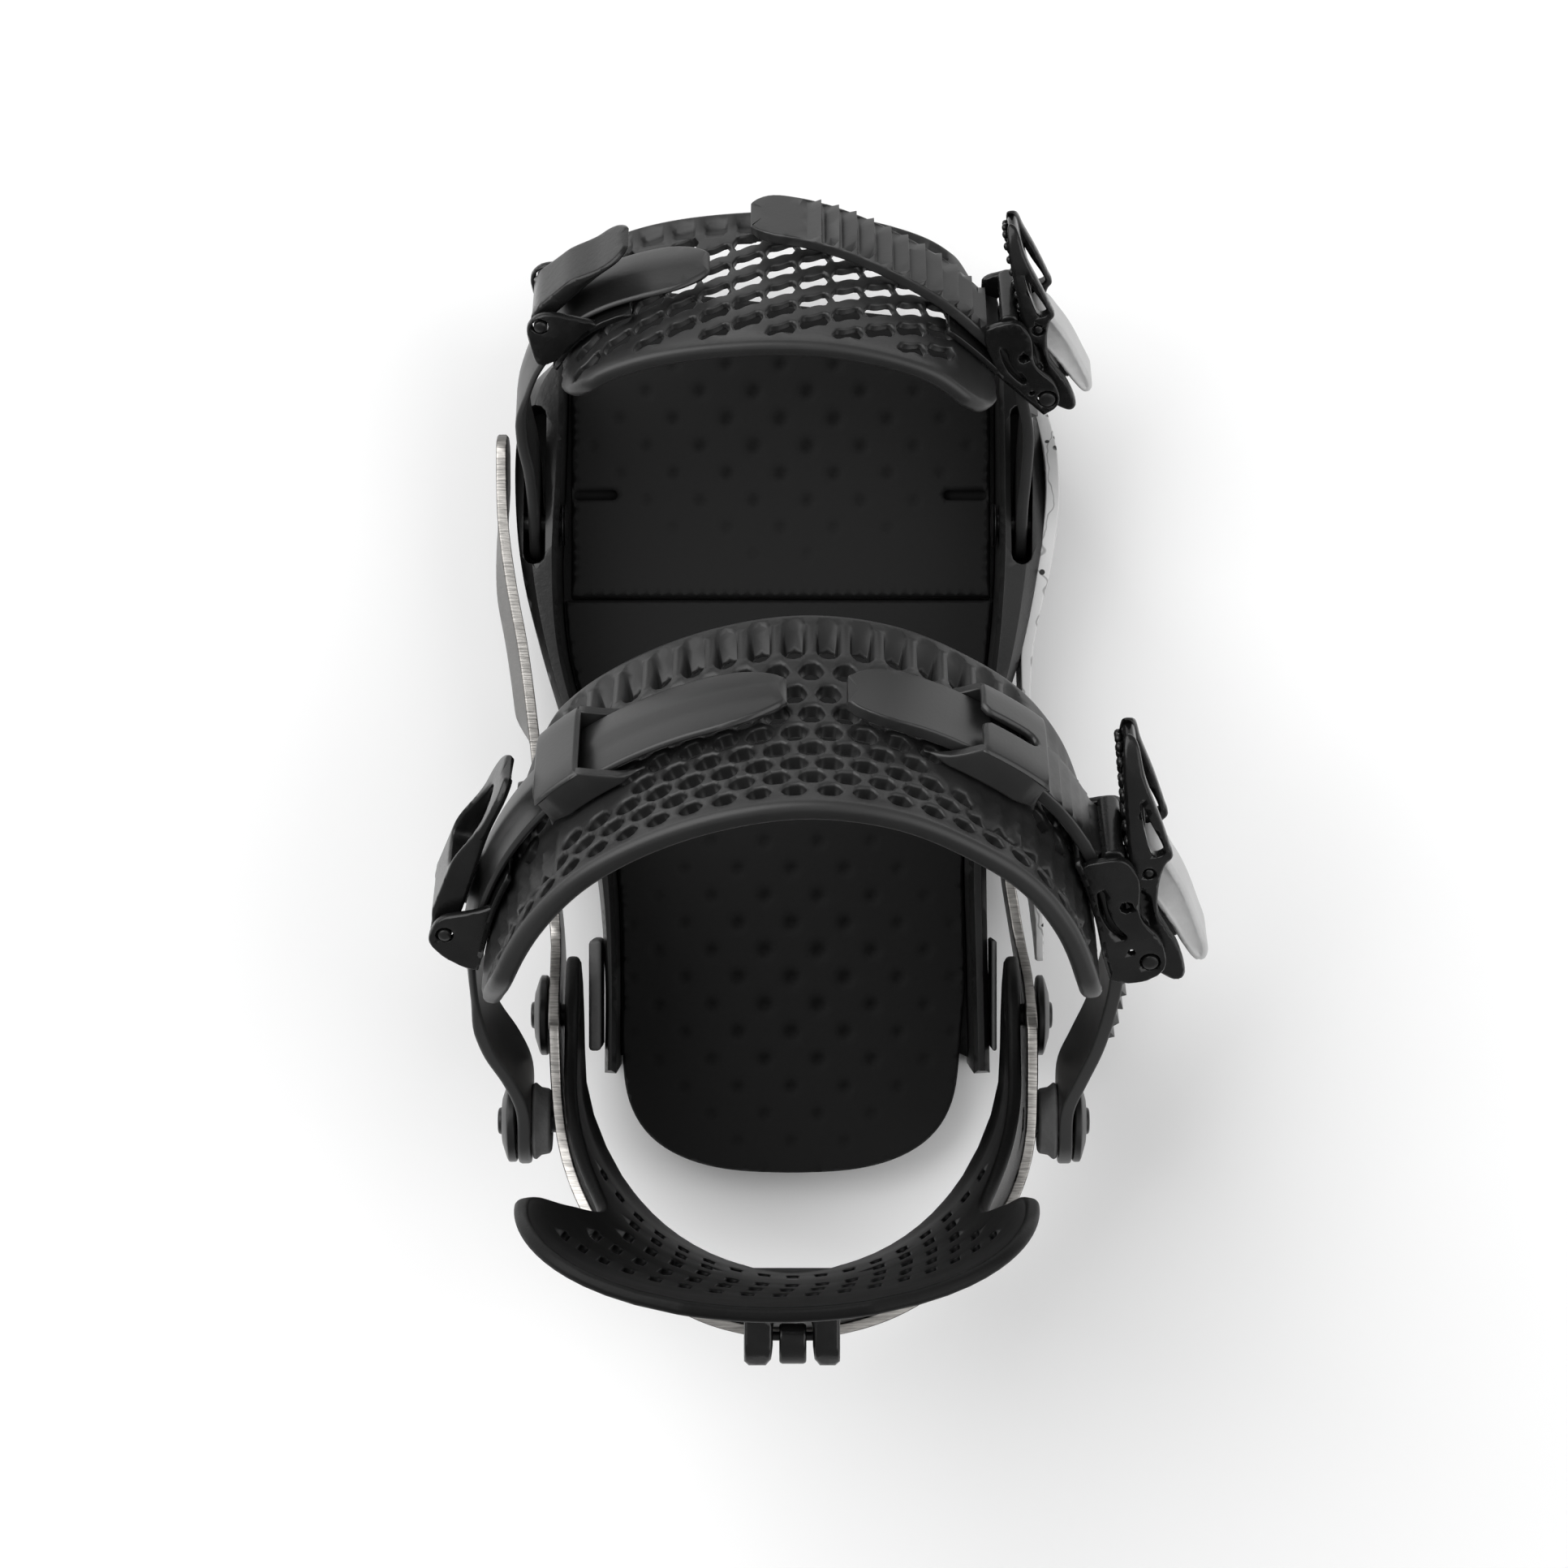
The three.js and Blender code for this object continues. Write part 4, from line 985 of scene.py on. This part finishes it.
class Buckle:
    """A buckle drawn from its hub as (out, along): out points away from the foot, along follows its lever."""

    def __init__(self, name, frame, path, hub, lean, side, size, inner, wall, start, end):
        self.name, self.frame, self.path, self.hub, self.size = name, frame, path, np.array(hub), size
        self.inner, self.wall, self.start, self.end = inner, wall, start, end
        angle = math.radians(lean)
        self.along = np.array([-side * math.sin(angle), math.cos(angle)])
        self.out = np.array([side * math.cos(angle), math.sin(angle)])

    def placed(self, points):
        points = np.atleast_2d(np.array(points, float)) * self.size
        return self.hub + points[:, :1] * self.out + points[:, 1:] * self.along

    def off_pad(self, loop, gap=3.0):
        """Moves the corners that reach into the pad out to its surface."""
        s = np.linspace(0, self.path.length, 300)
        line, normal = self.path.spot(s), self.path.normal(s)
        near = np.argmin(np.linalg.norm(loop[:, None] - line[None], axis=2), axis=1)
        height = np.sum((loop - line[near]) * normal[near], axis=1)
        lifted = line[near] + normal[near] * gap
        return np.where((height < gap)[:, None], lifted, loop)

    def plate(self, outline, low, high, holes=(), recesses=(), rim=0.5, spacing=2.5, both=False, narrow=False):
        """A flat plate between two places across the strap, or a mirrored pair of them."""
        meshes = []
        for side in ((1, -1) if both else (1,)):
            def place(spots, height, side=side):
                width = self.tip_width(spots) if narrow else 1
                return self.frame.place(spots[:, 0], spots[:, 1], side * width * np.asarray(height))
            meshes.append(sheet_mesh("plate", outline, holes, place, flat(high), flat(low), spacing, rim=rim,
                                     lip=min(0.35, rim), recesses=recesses))
        return meshes

    def tip_width(self, spots):
        """How wide the lever is at some spots, from 1 down to its rounded tip."""
        along = (np.asarray(spots) - self.hub) @ self.along / self.size
        return np.sqrt(1 - 0.93 * np.clip((along - 44) / 18.5, 0, 1) ** 2.2)

    def base(self):
        """The floor of the buckle, which lies on the pad."""
        ends = self.start * self.path.length, self.end * self.path.length
        outline = resampled(np.array(rectangle(*ends, self.inner + self.wall), float), 3)
        return sheet_mesh("base", outline, [], self.frame.on(self.path), flat(4.7), flat(3.0), 3.5, rim=0.3)

    def circle(self, at, radius, sides=14):
        return ring(*self.placed(at)[0], radius, sides)

    def curve(self, points, fineness=5):
        return closed_curve(self.placed(points), fineness)

    def spot(self, at, w):
        """A point in the binding's own frame, in millimetres."""
        x, v = self.placed(at)[0]
        return self.frame.place(x, v, w) / MM

    def stud(self, at, w, radius, rise):
        """A small dome on the lever's face towards the foot."""
        centre = self.spot(at, w)
        profile = [(radius, -0.6), (radius, rise * 0.35), (radius * 0.75, rise * 0.8), (radius * 0.3, rise)]
        return turned(profile, centre, self.spot((at[0] - 1, at[1]), w) - centre, 8)

    def pin(self, at, node, reach, radius):
        """A riveted pin across the strap, with a shallow dome at each end."""
        head = [(radius * 0.35, reach + 0.1), (radius * 0.9, reach), (radius, reach - 0.35)]
        profile = [(r, -h) for r, h in head] + [(r, h) for r, h in reversed(head)]
        centre = self.spot(at, 0.0)
        mesh = turned(profile, centre, self.spot(at, 1.0) - centre)
        mesh.name = node + "_turned"
        piece_from(mesh, node)


def slot_loop(line, width, fineness=5):
    """A round-ended slot along a curved line."""
    path = Path(line, fineness)
    s = np.linspace(0, path.length, 8)
    middle, normal = path.spot(s), path.normal(s)
    sides = [middle + normal * width / 2, (middle - normal * width / 2)[::-1]]
    caps = []
    for end, turn in ((-1, 1), (0, -1)):
        n = normal[end]
        tangent = np.array([n[1], -n[0]]) * turn
        caps.append([middle[end] + (n * math.cos(a) * turn + tangent * math.sin(a)) * width / 2
                     for a in np.linspace(0, math.pi, 6)[1:-1]])
    return np.vstack([sides[0], caps[0], sides[1], caps[1]])


# Outlines as (out, along) pairs around the hub.
CHEEK = [(-15.2, 30), (-9, 32), (-4, 31.4), (-1, 25), (-1.4, 14), (3.4, 5), (3.4, -2.8), (-2.4, -6.2), (-10.4, -4.4),
         (-13, 8.8)]
CHEEK_SLOT = [(-10.6, 22), (-10.2, 16.5), (-8.4, 11.5), (-6.2, 8.4)]
BUMPER = [(-9.8, 31), (-8.6, 33.2), (-5, 33), (-4, 31), (-5.4, 29.4), (-8.4, 29.2)]
LEVER = [(-3.4, 1.8), (-3.0, -2.8), (0.4, -5.2), (6.2, -9.4), (8.3, -8.2), (7.4, 1), (5.0, 7), (3.2, 12), (3.4, 18),
         (4.6, 23.5), (6.1, 26.8), (7.7, 28.6), (7.1, 32.5), (5.2, 41.5), (2.6, 52), (1.0, 61), (-1.0, 61.8),
         (-2.4, 57), (-2.9, 46), (-3.0, 33), (-3.1, 18)]
LEVER_PLATE = [(-3.0, 19), (-3.0, 33), (-2.7, 46), (-1.4, 59.5), (0.6, 60), (1.3, 49.5), (1.6, 36), (0.6, 31),
               (-1.3, 27), (-1.4, 19)]
LEVER_HUB = [(-3.0, 2), (-2.6, -2.6), (0.2, -4.2), (4.0, -5.6), (4.6, -1), (3.2, 4), (-0.6, 11), (-1.6, 19),
             (-3.0, 19)]
LEVER_POCKET = [(-1.4, 12), (0.2, 8), (1.8, 9), (1.6, 15), (0.4, 19), (-1.4, 20)]
LEVER_WINDOW = [(0.9, 46), (3.0, 39.5), (5.4, 32.6), (5.6, 30.2), (3.2, 29.4), (1.5, 36)]
TAB = [(-0.4, 26.4), (2.0, 28.2), (5.2, 27.4), (8.4, 21), (11.0, 14), (13.4, 4), (14.8, -3.6), (13.9, -6.4),
       (11.6, -6.6), (8.8, -2), (6.0, 5), (3.4, 10.6), (1.0, 16), (-0.3, 21.4)]
PAWL = [(-5.1, 17), (-4.4, 19.6), (-3.5, 20.6), (-3.4, 17), (-3.5, 13.4), (-4.4, 14.6)]
HUB, TAB_PIN = (0, 0), (1.6, 24.4)
STUD_ROWS = (-7.2, -2.4, 2.4, 7.2)


def make_ratchet(buckle):
    name, size, inner = buckle.name, buckle.size, buckle.inner
    half = inner - 1.2
    slot_half = half - 3.2
    reach = inner + buckle.wall
    bore, tab_bore = buckle.circle(HUB, 2.5), buckle.circle(TAB_PIN, 1.6)
    cheek = buckle.off_pad(resampled(buckle.curve(CHEEK), 1.2))
    holes = [bore, slot_loop(buckle.placed(CHEEK_SLOT), 1.9 * size), buckle.circle((-4.6, 17.4), 1.7 * size, 8),
             buckle.circle((-4.4, 3.4), 0.9 * size, 8)]
    meshes = buckle.plate(cheek, inner, reach, holes, spacing=1.8, both=True)
    meshes += buckle.plate(buckle.off_pad(buckle.curve(BUMPER)), -inner - 0.2, inner + 0.2, rim=0.6)
    piece_from(joined(f"{name}_ratchet_frame_forged", [*meshes, buckle.base()]), f"{name}_ratchet_frame")
    pocket = (buckle.curve(LEVER_POCKET), flat(1.5), 0.5)
    meshes = buckle.plate(buckle.curve(LEVER, 7), slot_half, half, [bore, tab_bore, buckle.curve(LEVER_WINDOW)],
                          [pocket], rim=0.9, spacing=1.8, both=True, narrow=True)
    inset = slot_half + 0.4
    meshes += buckle.plate(buckle.curve(LEVER_PLATE, 6), -inset, inset, rim=0.3, narrow=True)
    meshes += buckle.plate(buckle.curve(LEVER_HUB, 6), -inset, inset, [bore], rim=0.3)
    for k in range(7):
        for w in STUD_ROWS:
            at = (-2.75, 28 + 4.6 * k + (1.6 if abs(w) < 3 else 0))
            width = buckle.tip_width(buckle.placed(at))[0]
            meshes.append(buckle.stud(at, w * width * half / 10.4, 1.35 * size, 1.2 * size))
    piece_from(joined(f"{name}_ratchet_lever_forged", meshes), f"{name}_ratchet_lever")
    pawl = buckle.plate(buckle.curve(PAWL), 2 - half, half - 2, rim=0.2)[0]
    pawl.name = f"{name}_drive_pawl_forged"
    piece_from(pawl, f"{name}_drive_pawl")
    dish = (shifted(anticlockwise(buckle.curve(TAB)), 1.5 * size), flat(0.5), 0.6)
    tab = buckle.plate(buckle.curve(TAB, 6), 0.5 - slot_half, slot_half - 0.5, [tab_bore], [dish], rim=1.1,
                       spacing=1.8)[0]
    tab.name = f"{name}_release_tab_moulding"
    piece_from(tab, f"{name}_release_tab")
    buckle.pin(HUB, f"{name}_ratchet_pin", reach + 0.4, 2.1)
    buckle.pin(TAB_PIN, f"{name}_release_pin", half - 0.3, 1.2)


ADJUSTER_LINE = [(0.2, -3.4), (0.2, 2), (0.6, 12), (1.0, 22), (1.1, 32), (0.6, 40), (0.2, 45)]
ADJUSTER_WINDOW = [(19, -6.2), (21, -7.4), (31, -6.8), (38, -4.2), (40, 0), (38, 4.2), (31, 6.8), (21, 7.4),
                   (19, 6.2), (18.4, 0)]
TIP_POWER = 2.4


def make_adjuster(buckle, cheek, windows=()):
    name, size, inner, reach = buckle.name, buckle.size, buckle.inner, buckle.inner + buckle.wall
    half = inner - 0.8
    outline = buckle.off_pad(resampled(buckle.curve(cheek), 1.2))
    meshes = buckle.plate(outline, inner, reach, [buckle.circle(HUB, 2.1)], rim=0.6, both=True)
    piece_from(joined(f"{name}_adjuster_frame_forged", [*meshes, buckle.base()]), f"{name}_adjuster_frame")
    path = Path(buckle.placed(ADJUSTER_LINE))
    length = path.length
    s = np.linspace(0, length, 70)
    tip = np.clip((s - (length - 13 * size)) / (13 * size), 0, 1)
    waist = 1 - 0.12 * np.sin(np.clip(s / length, 0, 1) * math.pi)
    width = half * (1 - tip**TIP_POWER) ** (1 / TIP_POWER) * waist
    width[0] = half - 0.6
    keep = width > 0.5
    s, width = s[keep], width[keep]
    outline = strip(s, -width, width)
    flip = -1 if np.sum(path.normal(length / 2) * buckle.out) < 0 else 1

    def top(spots):
        s = spots[:, 0] / size
        return size * (3.0 + 1.5 * step(s, 1 / size, 7) - 3.2 * step(s, 20, 36))

    def bottom(spots):
        return -size * (2.5 - 1.4 * step(spots[:, 0], 8 * size, 42 * size))

    lever = sheet_mesh(f"{name}_adjuster_lever_forged", outline, [closed_curve(window) for window in windows],
                       buckle.frame.on(path, flip), top, bottom, 2.0, rim=1.1, lip=0.8)
    piece_from(lever, f"{name}_adjuster_lever")
    buckle.pin(HUB, f"{name}_adjuster_pin", reach + 0.3, 1.7)


def make_buckles():
    make_ratchet(Buckle("ankle", ankle_frame, ankle_path, (90.6, 62.6), 6.4, 1, 1, 11.6, 2.4, 0.865, 1))
    make_ratchet(Buckle("toe", toe_frame, toe_path, (67.2, 50), 12.2, 1, 0.78, 10.1, 2.2, 0.84, 1))
    make_adjuster(Buckle("ankle", ankle_frame, ankle_path, (-83.6, 71), 23, -1, 1, 11.6, 2.4, 0.005, 0.12),
                  [(-9.4, 13), (-4, 9), (2.6, 4), (3.6, 0), (2.6, -4), (-5, -7.4), (-12.6, -6.6), (-12.8, 4)],
                  [ADJUSTER_WINDOW])
    make_adjuster(Buckle("toe", toe_frame, toe_path, (-61.4, 72.4), 50, -1, 0.66, 10.1, 2.2, 0.005, 0.2),
                  [(-13.4, 17), (-8, 14), (2.8, 5), (4.2, 0), (2.8, -4.4), (-4, -9), (-13.4, -12.6), (-16, -2)])


# ---------------------------------------------------------------- strap guides
GUIDE_TOP, GUIDE_UNDER, GUIDE_FLOOR, GUIDE_INNER, GUIDE_REACH = 12.6, 10.4, 3.0, 11.6, 14.6


def make_guide(node, start, end, wings, mouth=()):
    """A loop on the ankle pad: an outer plate on two side walls that run out into low wings.

    mouth is an open slot in the plate, given by its far end and half its width.
    """
    start, end = start * ankle_path.length, end * ankle_path.length
    place = ankle_frame.on(ankle_path)
    plate = rectangle(start, end, GUIDE_REACH)
    if mouth:
        far, width = mouth
        bend = [(far + width * math.sin(a), width * math.cos(a)) for a in np.linspace(0, math.pi, 7)]
        plate += [(start, width + 1.6), (start + 1.6, width), *bend, (start + 1.6, -width), (start, -width - 1.6)]
        plate = anticlockwise(plate)

    def crown(spots):
        return GUIDE_TOP - 0.9 * np.abs(spots[:, 1] / GUIDE_REACH) ** 6

    meshes = [sheet_mesh("plate", resampled(np.array(plate, float), 2), [], place, crown, flat(GUIDE_UNDER), 2.2,
                         rim=0.9)]
    before, after = wings
    a, b = start - before, end + after
    s = np.linspace(a, b, 24)
    thick = np.clip(np.minimum(s - a, b - s) / 6, 0.25, 1) * (GUIDE_REACH - GUIDE_INNER)

    def top(spots):
        s = spots[:, 0]
        fall = np.maximum(step(start - s, 0, before + 0.1), step(s - end, 0, after + 0.1))
        return GUIDE_TOP - 0.9 - (GUIDE_TOP - 1.4 - GUIDE_FLOOR) * np.sqrt(fall)

    for side in (1, -1):
        wall = strip(s, np.full(24, GUIDE_INNER), GUIDE_INNER + thick)
        meshes.append(sheet_mesh("wall", wall * (1, side), [], place, top, flat(GUIDE_FLOOR), 1.5, rim=0.6))
    piece_from(joined(node + "_moulding", meshes), node)


# ---------------------------------------------------------------- baseplate
LEFT_RAIL = {
    "outer": [(-60, 113), (-68, 104), (-70.6, 92), (-70.8, 74), (-68.6, 54), (-64, 35), (-55.5, 6), (-49.5, -22),
              (-47.2, -48), (-47.2, -76)],
    "inner": [(-58, 113), (-58.2, 100), (-58.8, 80), (-59.6, 56), (-58, 35), (-50.5, 6), (-45.4, -20), (-44, -44),
              (-44, -76)]}
RIGHT_RAIL = {
    "outer": [(58.5, 113), (64.5, 104), (68, 92), (68.9, 74), (66.8, 56), (62.6, 35), (55.2, 10), (53.4, -14),
              (53.6, -44), (54.2, -76)],
    "inner": [(56.6, 113), (56.7, 100), (56.8, 80), (56.6, 56), (55, 35), (51.5, 8), (48.6, -16), (49, -44),
              (49.8, -76)]}
RAIL_TOP, FLOOR_TOP, CHAMFER = 46, 8, 1.3


def rail_mesh(rail, slot, sign):
    """A side rail: a flat crest, a long bevel down its outer side and a small step along its inner side."""
    lines = {side: Path(points) for side, points in rail.items()}
    edge = {side: path.spot(np.linspace(0, path.length, 70)) for side, path in lines.items()}
    outline = np.vstack([edge["outer"], edge["inner"][::-1]])

    def crossing(side, y):
        return np.interp(y, edge[side][::-1, 1], edge[side][::-1, 0])

    def bevel(y):
        return np.minimum(3.6, sign * (crossing("outer", y) - crossing("inner", y)) * 0.34)

    def top(spots):
        x, y = spots.T
        crest = RAIL_TOP - 12 * np.clip((y - 62) / 58, 0, 1)
        outside, inside_edge = sign * (crossing("outer", y) - x), sign * (x - crossing("inner", y))
        crest = crest - 5.5 * np.clip(1 - outside / bevel(y), 0, 1)
        return crest - 1.8 * np.clip(1 - inside_edge / CHAMFER, 0, 1)

    y = np.linspace(110, -75, 75)
    creases = [pairs(crossing("outer", y) - sign * bevel(y), y), pairs(crossing("inner", y) + sign * CHAMFER, y)]
    hole = pill(slot[0], 78.8, 2 * slot[1], 42.4, 6)
    return sheet_mesh("rail", outline, [hole], flat_place, top, flat(0.4), 2.0, rim=0.35, lip=0.4, creases=creases)


def make_chassis():
    left, right = (Path(rail["outer"]) for rail in (LEFT_RAIL, RIGHT_RAIL))
    angles = np.linspace(math.pi, 0, 30)
    x, y = np.cos(angles), np.abs(np.sin(angles)) ** 0.72
    heel = pairs(1.8 + np.sign(x) * np.abs(x) ** 0.72 * 43.8, -72 - y * 31)
    outline = np.vstack([left.spot(np.linspace(0, left.length, 60)), heel,
                         right.spot(np.linspace(right.length, 0, 60))])
    meshes = [sheet_mesh("floor_plate", outline, [ring(0, 0, 38.5, 64)], flat_place, flat(FLOOR_TOP), flat(0), 5,
                         rim=0.6, lip=0.3, recesses=[(ring(0, 0, 43.5, 72), flat(4.8), 0.2)])]
    meshes += [rail_mesh(LEFT_RAIL, (-65.6, 3), -1), rail_mesh(RIGHT_RAIL, (62.4, 2.8), 1)]
    for start, end in ((-60.4, -52), (51.5, 55.4)):
        profile = [(3.3, start), (8.2, start), (8.5, start + 0.3), (8.5, end - 0.3), (8.2, end), (3.3, end)]
        meshes.append(turned(profile, (0, *SLIDE_BOLT), (1, 0, 0), 28))
    piece_from(joined("chassis_moulding", meshes), "chassis", bevel=0.25, segments=1, angle=40)


def make_panel():
    path = Path([(68.4, 100), (70.5, 90), (71.3, 76), (69.5, 59), (66.4, 46), (64.4, 35), (63.6, 18), (63.6, -2),
                 (65.2, -20), (67.2, -36), (67.9, -47)])
    s = np.linspace(0, path.length, 80)
    share = s / path.length
    end = step(share, 0, 0.1) * (1 - step(share, 0.9, 1))
    outline = strip(s, mix(24, 13, end), mix(30, 40, end))

    def place(spots, height):
        return np.column_stack([path.off(spots[:, 0], height), spots[:, 1]]) * MM

    def inwards(spots):
        return -1 - 1.4 * step(path.spot(spots[:, 0])[:, 1], 20, 44)

    mesh = sheet_mesh("side_panel_moulding", outline, [], place, flat(1.2), inwards, 3, rim=0.4)
    piece_from(mesh, "side_panel")


# ---------------------------------------------------------------- heel hoop, bolts and lean adjuster
hoop_path = Path([
    (-74.1, 92), (-73.7, 70), (-71.5, 53), (-68.4, 36), (-66, 18), (-62.7, -15), (-59.8, -39), (-58.9, -62), (-58, -80),
    (-56.6, -91), (-54, -100), (-49, -110), (-38, -123.5), (-20, -135), (2.2, -139), (24.4, -135), (43, -124),
    (55.5, -110), (60.6, -100), (62.8, -91), (63.5, -79), (63.5, -62), (63, -50), (61, -37), (59, -24), (58.2, -10),
    (58.3, 6.5)])
HOOP_THICKNESS, HOOP_CORNER = 2.8, 6


def hoop_edges(s):
    """The heights of the hoop's lower and upper edges at a distance along it."""
    y = hoop_path.spot(s)[..., 1]
    lower = mix(mix(26, 29, step(y, 0, 80)), 61, 1 - step(y, -126, -96))
    upper = mix(mix(46, 74, 1 - step(y, -64, -36)), 86, 1 - step(y, -122, -88))
    return lower, upper


def hoop_place(spots, height):
    s, z = spots.T
    x, y = hoop_path.off(s, -height).T
    lower, upper = hoop_edges(s)
    lean = np.where(x < 0, 4.2 * (1 - step(y, 45, 80)) * step(y, 7, 19), 0)
    return np.stack([x - lean * (upper - z) / (upper - lower), y, z], -1) * MM


def hoop_at(y, right):
    """The distance along the hoop at which it passes y on one side of the foot."""
    s = np.linspace(0, hoop_path.length, 2000)
    spots = hoop_path.spot(s)
    return float(s[np.argmin(np.abs(spots[:, 1] - y) + 1e3 * ((spots[:, 0] > 0) != right))])


def make_hoop():
    s = np.linspace(0, hoop_path.length, 240)
    lower, upper = hoop_edges(s)
    cut = np.clip(HOOP_CORNER - np.minimum(s, hoop_path.length - s), 0, HOOP_CORNER)
    trim = HOOP_CORNER - np.sqrt(HOOP_CORNER**2 - cut**2)
    outline = strip(s, lower + trim, upper - trim)
    holes = []
    for right in (False, True):
        holes.append(pill(hoop_at(SLIDE_BOLT[0], right), SLIDE_BOLT[1], 16.8, 6.8))
        for y, z in (FOLD_PIVOT, ANKLE_PIVOT):
            holes.append(pill(hoop_at(y, right), z, 2 * PIVOT_HOLE, 2 * PIVOT_HOLE, 8))
    mesh = sheet_mesh("heel_hoop_forged", outline, holes, hoop_place, flat(HOOP_THICKNESS / 2),
                      flat(-HOOP_THICKNESS / 2), 5, rim=0.45, lip=0.3)
    piece_from(mesh, "heel_hoop")


# Each bolt's pivot, then its end, the underside and top of its head along X, and the head's radius.
BOLTS = {
    "toe_bolt_left": (TOE_PIVOT, -70.2, -58.8, -57.4, 5.6),
    "toe_bolt_right": (TOE_PIVOT, 68.2, 56.2, 54.8, 5.6),
    "fold_bolt_left": (FOLD_PIVOT, -53.3, -60.9, -65.6, 10.4),
    "fold_bolt_right": (FOLD_PIVOT, 57.7, 65.3, 69.6, 10.4),
    "ankle_bolt_left": (ANKLE_PIVOT, -56.4, -68.7, -73.8, 10.6),
    "ankle_bolt_right": (ANKLE_PIVOT, 62.2, 74.3, 78.8, 10.6),
}


def make_bolts():
    """Bolts with a stepped, conical cap and a small knob."""
    for node, (at, end, head, top, radius) in BOLTS.items():
        rise = top - head
        cap = [(radius - 0.5, 0), (radius, 0.1), (radius, 0.42), (radius - 0.9, 0.52), (6.0, 0.76), (5.2, 0.78),
               (3.6, 0.78), (3.3, 0.96), (2.7, 1)]
        profile = [(3, end), (3, head), *((r, head + share * rise) for r, share in cap)]
        mesh = turned(profile, (0, *at), (1, 0, 0), 32)
        mesh.name = node + "_turned"
        piece_from(mesh, node, bevel=0.25, angle=25)


def make_spacer(node, low, high, sides=28):
    """The waisted bracket between the hoop and an ankle strap's eye."""
    rise = high - low
    profile = [(PIVOT_HOLE, low), (7.6, low), (8.4, low + 0.12 * rise), (8.8, low + 0.55 * rise),
               (10, low + 0.85 * rise), (9.6, high), (PIVOT_HOLE, high)]
    y, z = ANKLE_PIVOT
    count = len(profile)
    points, faces = [], []
    for k in range(sides):
        angle = 2 * math.pi * k / sides
        points += [(along * MM, (y + radius * math.cos(angle)) * MM, (z + radius * math.sin(angle)) * MM)
                   for radius, along in profile]
        a, b = k * count, ((k + 1) % sides) * count
        faces += [(a + j, a + (j + 1) % count, b + (j + 1) % count, b + j) for j in range(count)]
    mesh = bpy.data.meshes.new(node + "_moulding")
    mesh.from_pydata(points, [], faces)
    piece_from(mesh, node, bevel=0.3)


def make_lean():
    """The highback's lean adjuster: a notched block with a small lever in its notch."""
    block = [(14, -128.6), (-10, -128.6), (-10, -144.2), (-8.8, -145.4), (-4.6, -145.4), (-3.2, -143.6), (-2.8, -140),
             (-2.8, -135.4), (-2.2, -133.2), (6.6, -133.2), (7.2, -135.4), (7.2, -140), (7.6, -143.6), (9, -145.4),
             (12.8, -145.4), (14, -144.2)]

    def top(spots):
        return 103 - 4 * step(spots[:, 1], -141, -146)

    mesh = sheet_mesh("lean_block_moulding", resampled(np.array(block), 1.5), [], flat_place, top, flat(86.4), 1.6,
                      rim=0.9)
    piece_from(mesh, "lean_block")
    lever = closed_curve([(-134.8, 98), (-136, 95.4), (-144.6, 94.6), (-145.1, 97.2), (-141, 101.2), (-137.2, 101.8),
                          (-135.2, 100.6)])

    def place(spots, height):
        return np.column_stack([height, spots]) * MM

    piece_from(sheet_mesh("lean_lever_moulding", lever, [], place, flat(5.6), flat(-1.2), 1.2, rim=0.8), "lean_lever")


# ---------------------------------------------------------------- the whole binding
# CAD nodes whose shape is kept, with the width of their rolled edges.
KEPT_NODES = {
    "heel_spacer_left": 1.0, "heel_spacer_right": 0.6, "hoop_bolt_left": 0.35, "hoop_bolt_right": 0.35,
    "lean_pin": 0.35, "lean_screw": 0.35, "mounting_disc": 0.4, "toe_ramp": 0.5,
}

make_camera()
bpy.context.scene.view_settings.view_transform = "Standard"
make_world(0.42)
make_light("key", (-1.0, 0.75, 1.3), 1.9, 34)
make_light("fill", (1.1, -0.3, 1.2), 1.6, 13)
make_floor()
make_ankle_pad()
make_toe_pad()
make_footbed()
make_highback()
make_straps()
make_buckles()
make_guide("ankle_guide_left", 0.215, 0.27, (2.5, 13))
make_guide("ankle_guide_right", 0.69, 0.77, (11, 2.5), mouth=(160.5, 2.3))
make_chassis()
make_panel()
make_hoop()
make_bolts()
make_spacer("ankle_spacer_left", -59.9, -64.7)
make_spacer("ankle_spacer_right", 65.3, 70.3)
make_lean()
for kept_node, edge_width in KEPT_NODES.items():
    refined(kept_node, edge_width)

low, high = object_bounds()
{"cad": [list(corner) for corner in cad_box], "visual": [list(low), list(high)]}
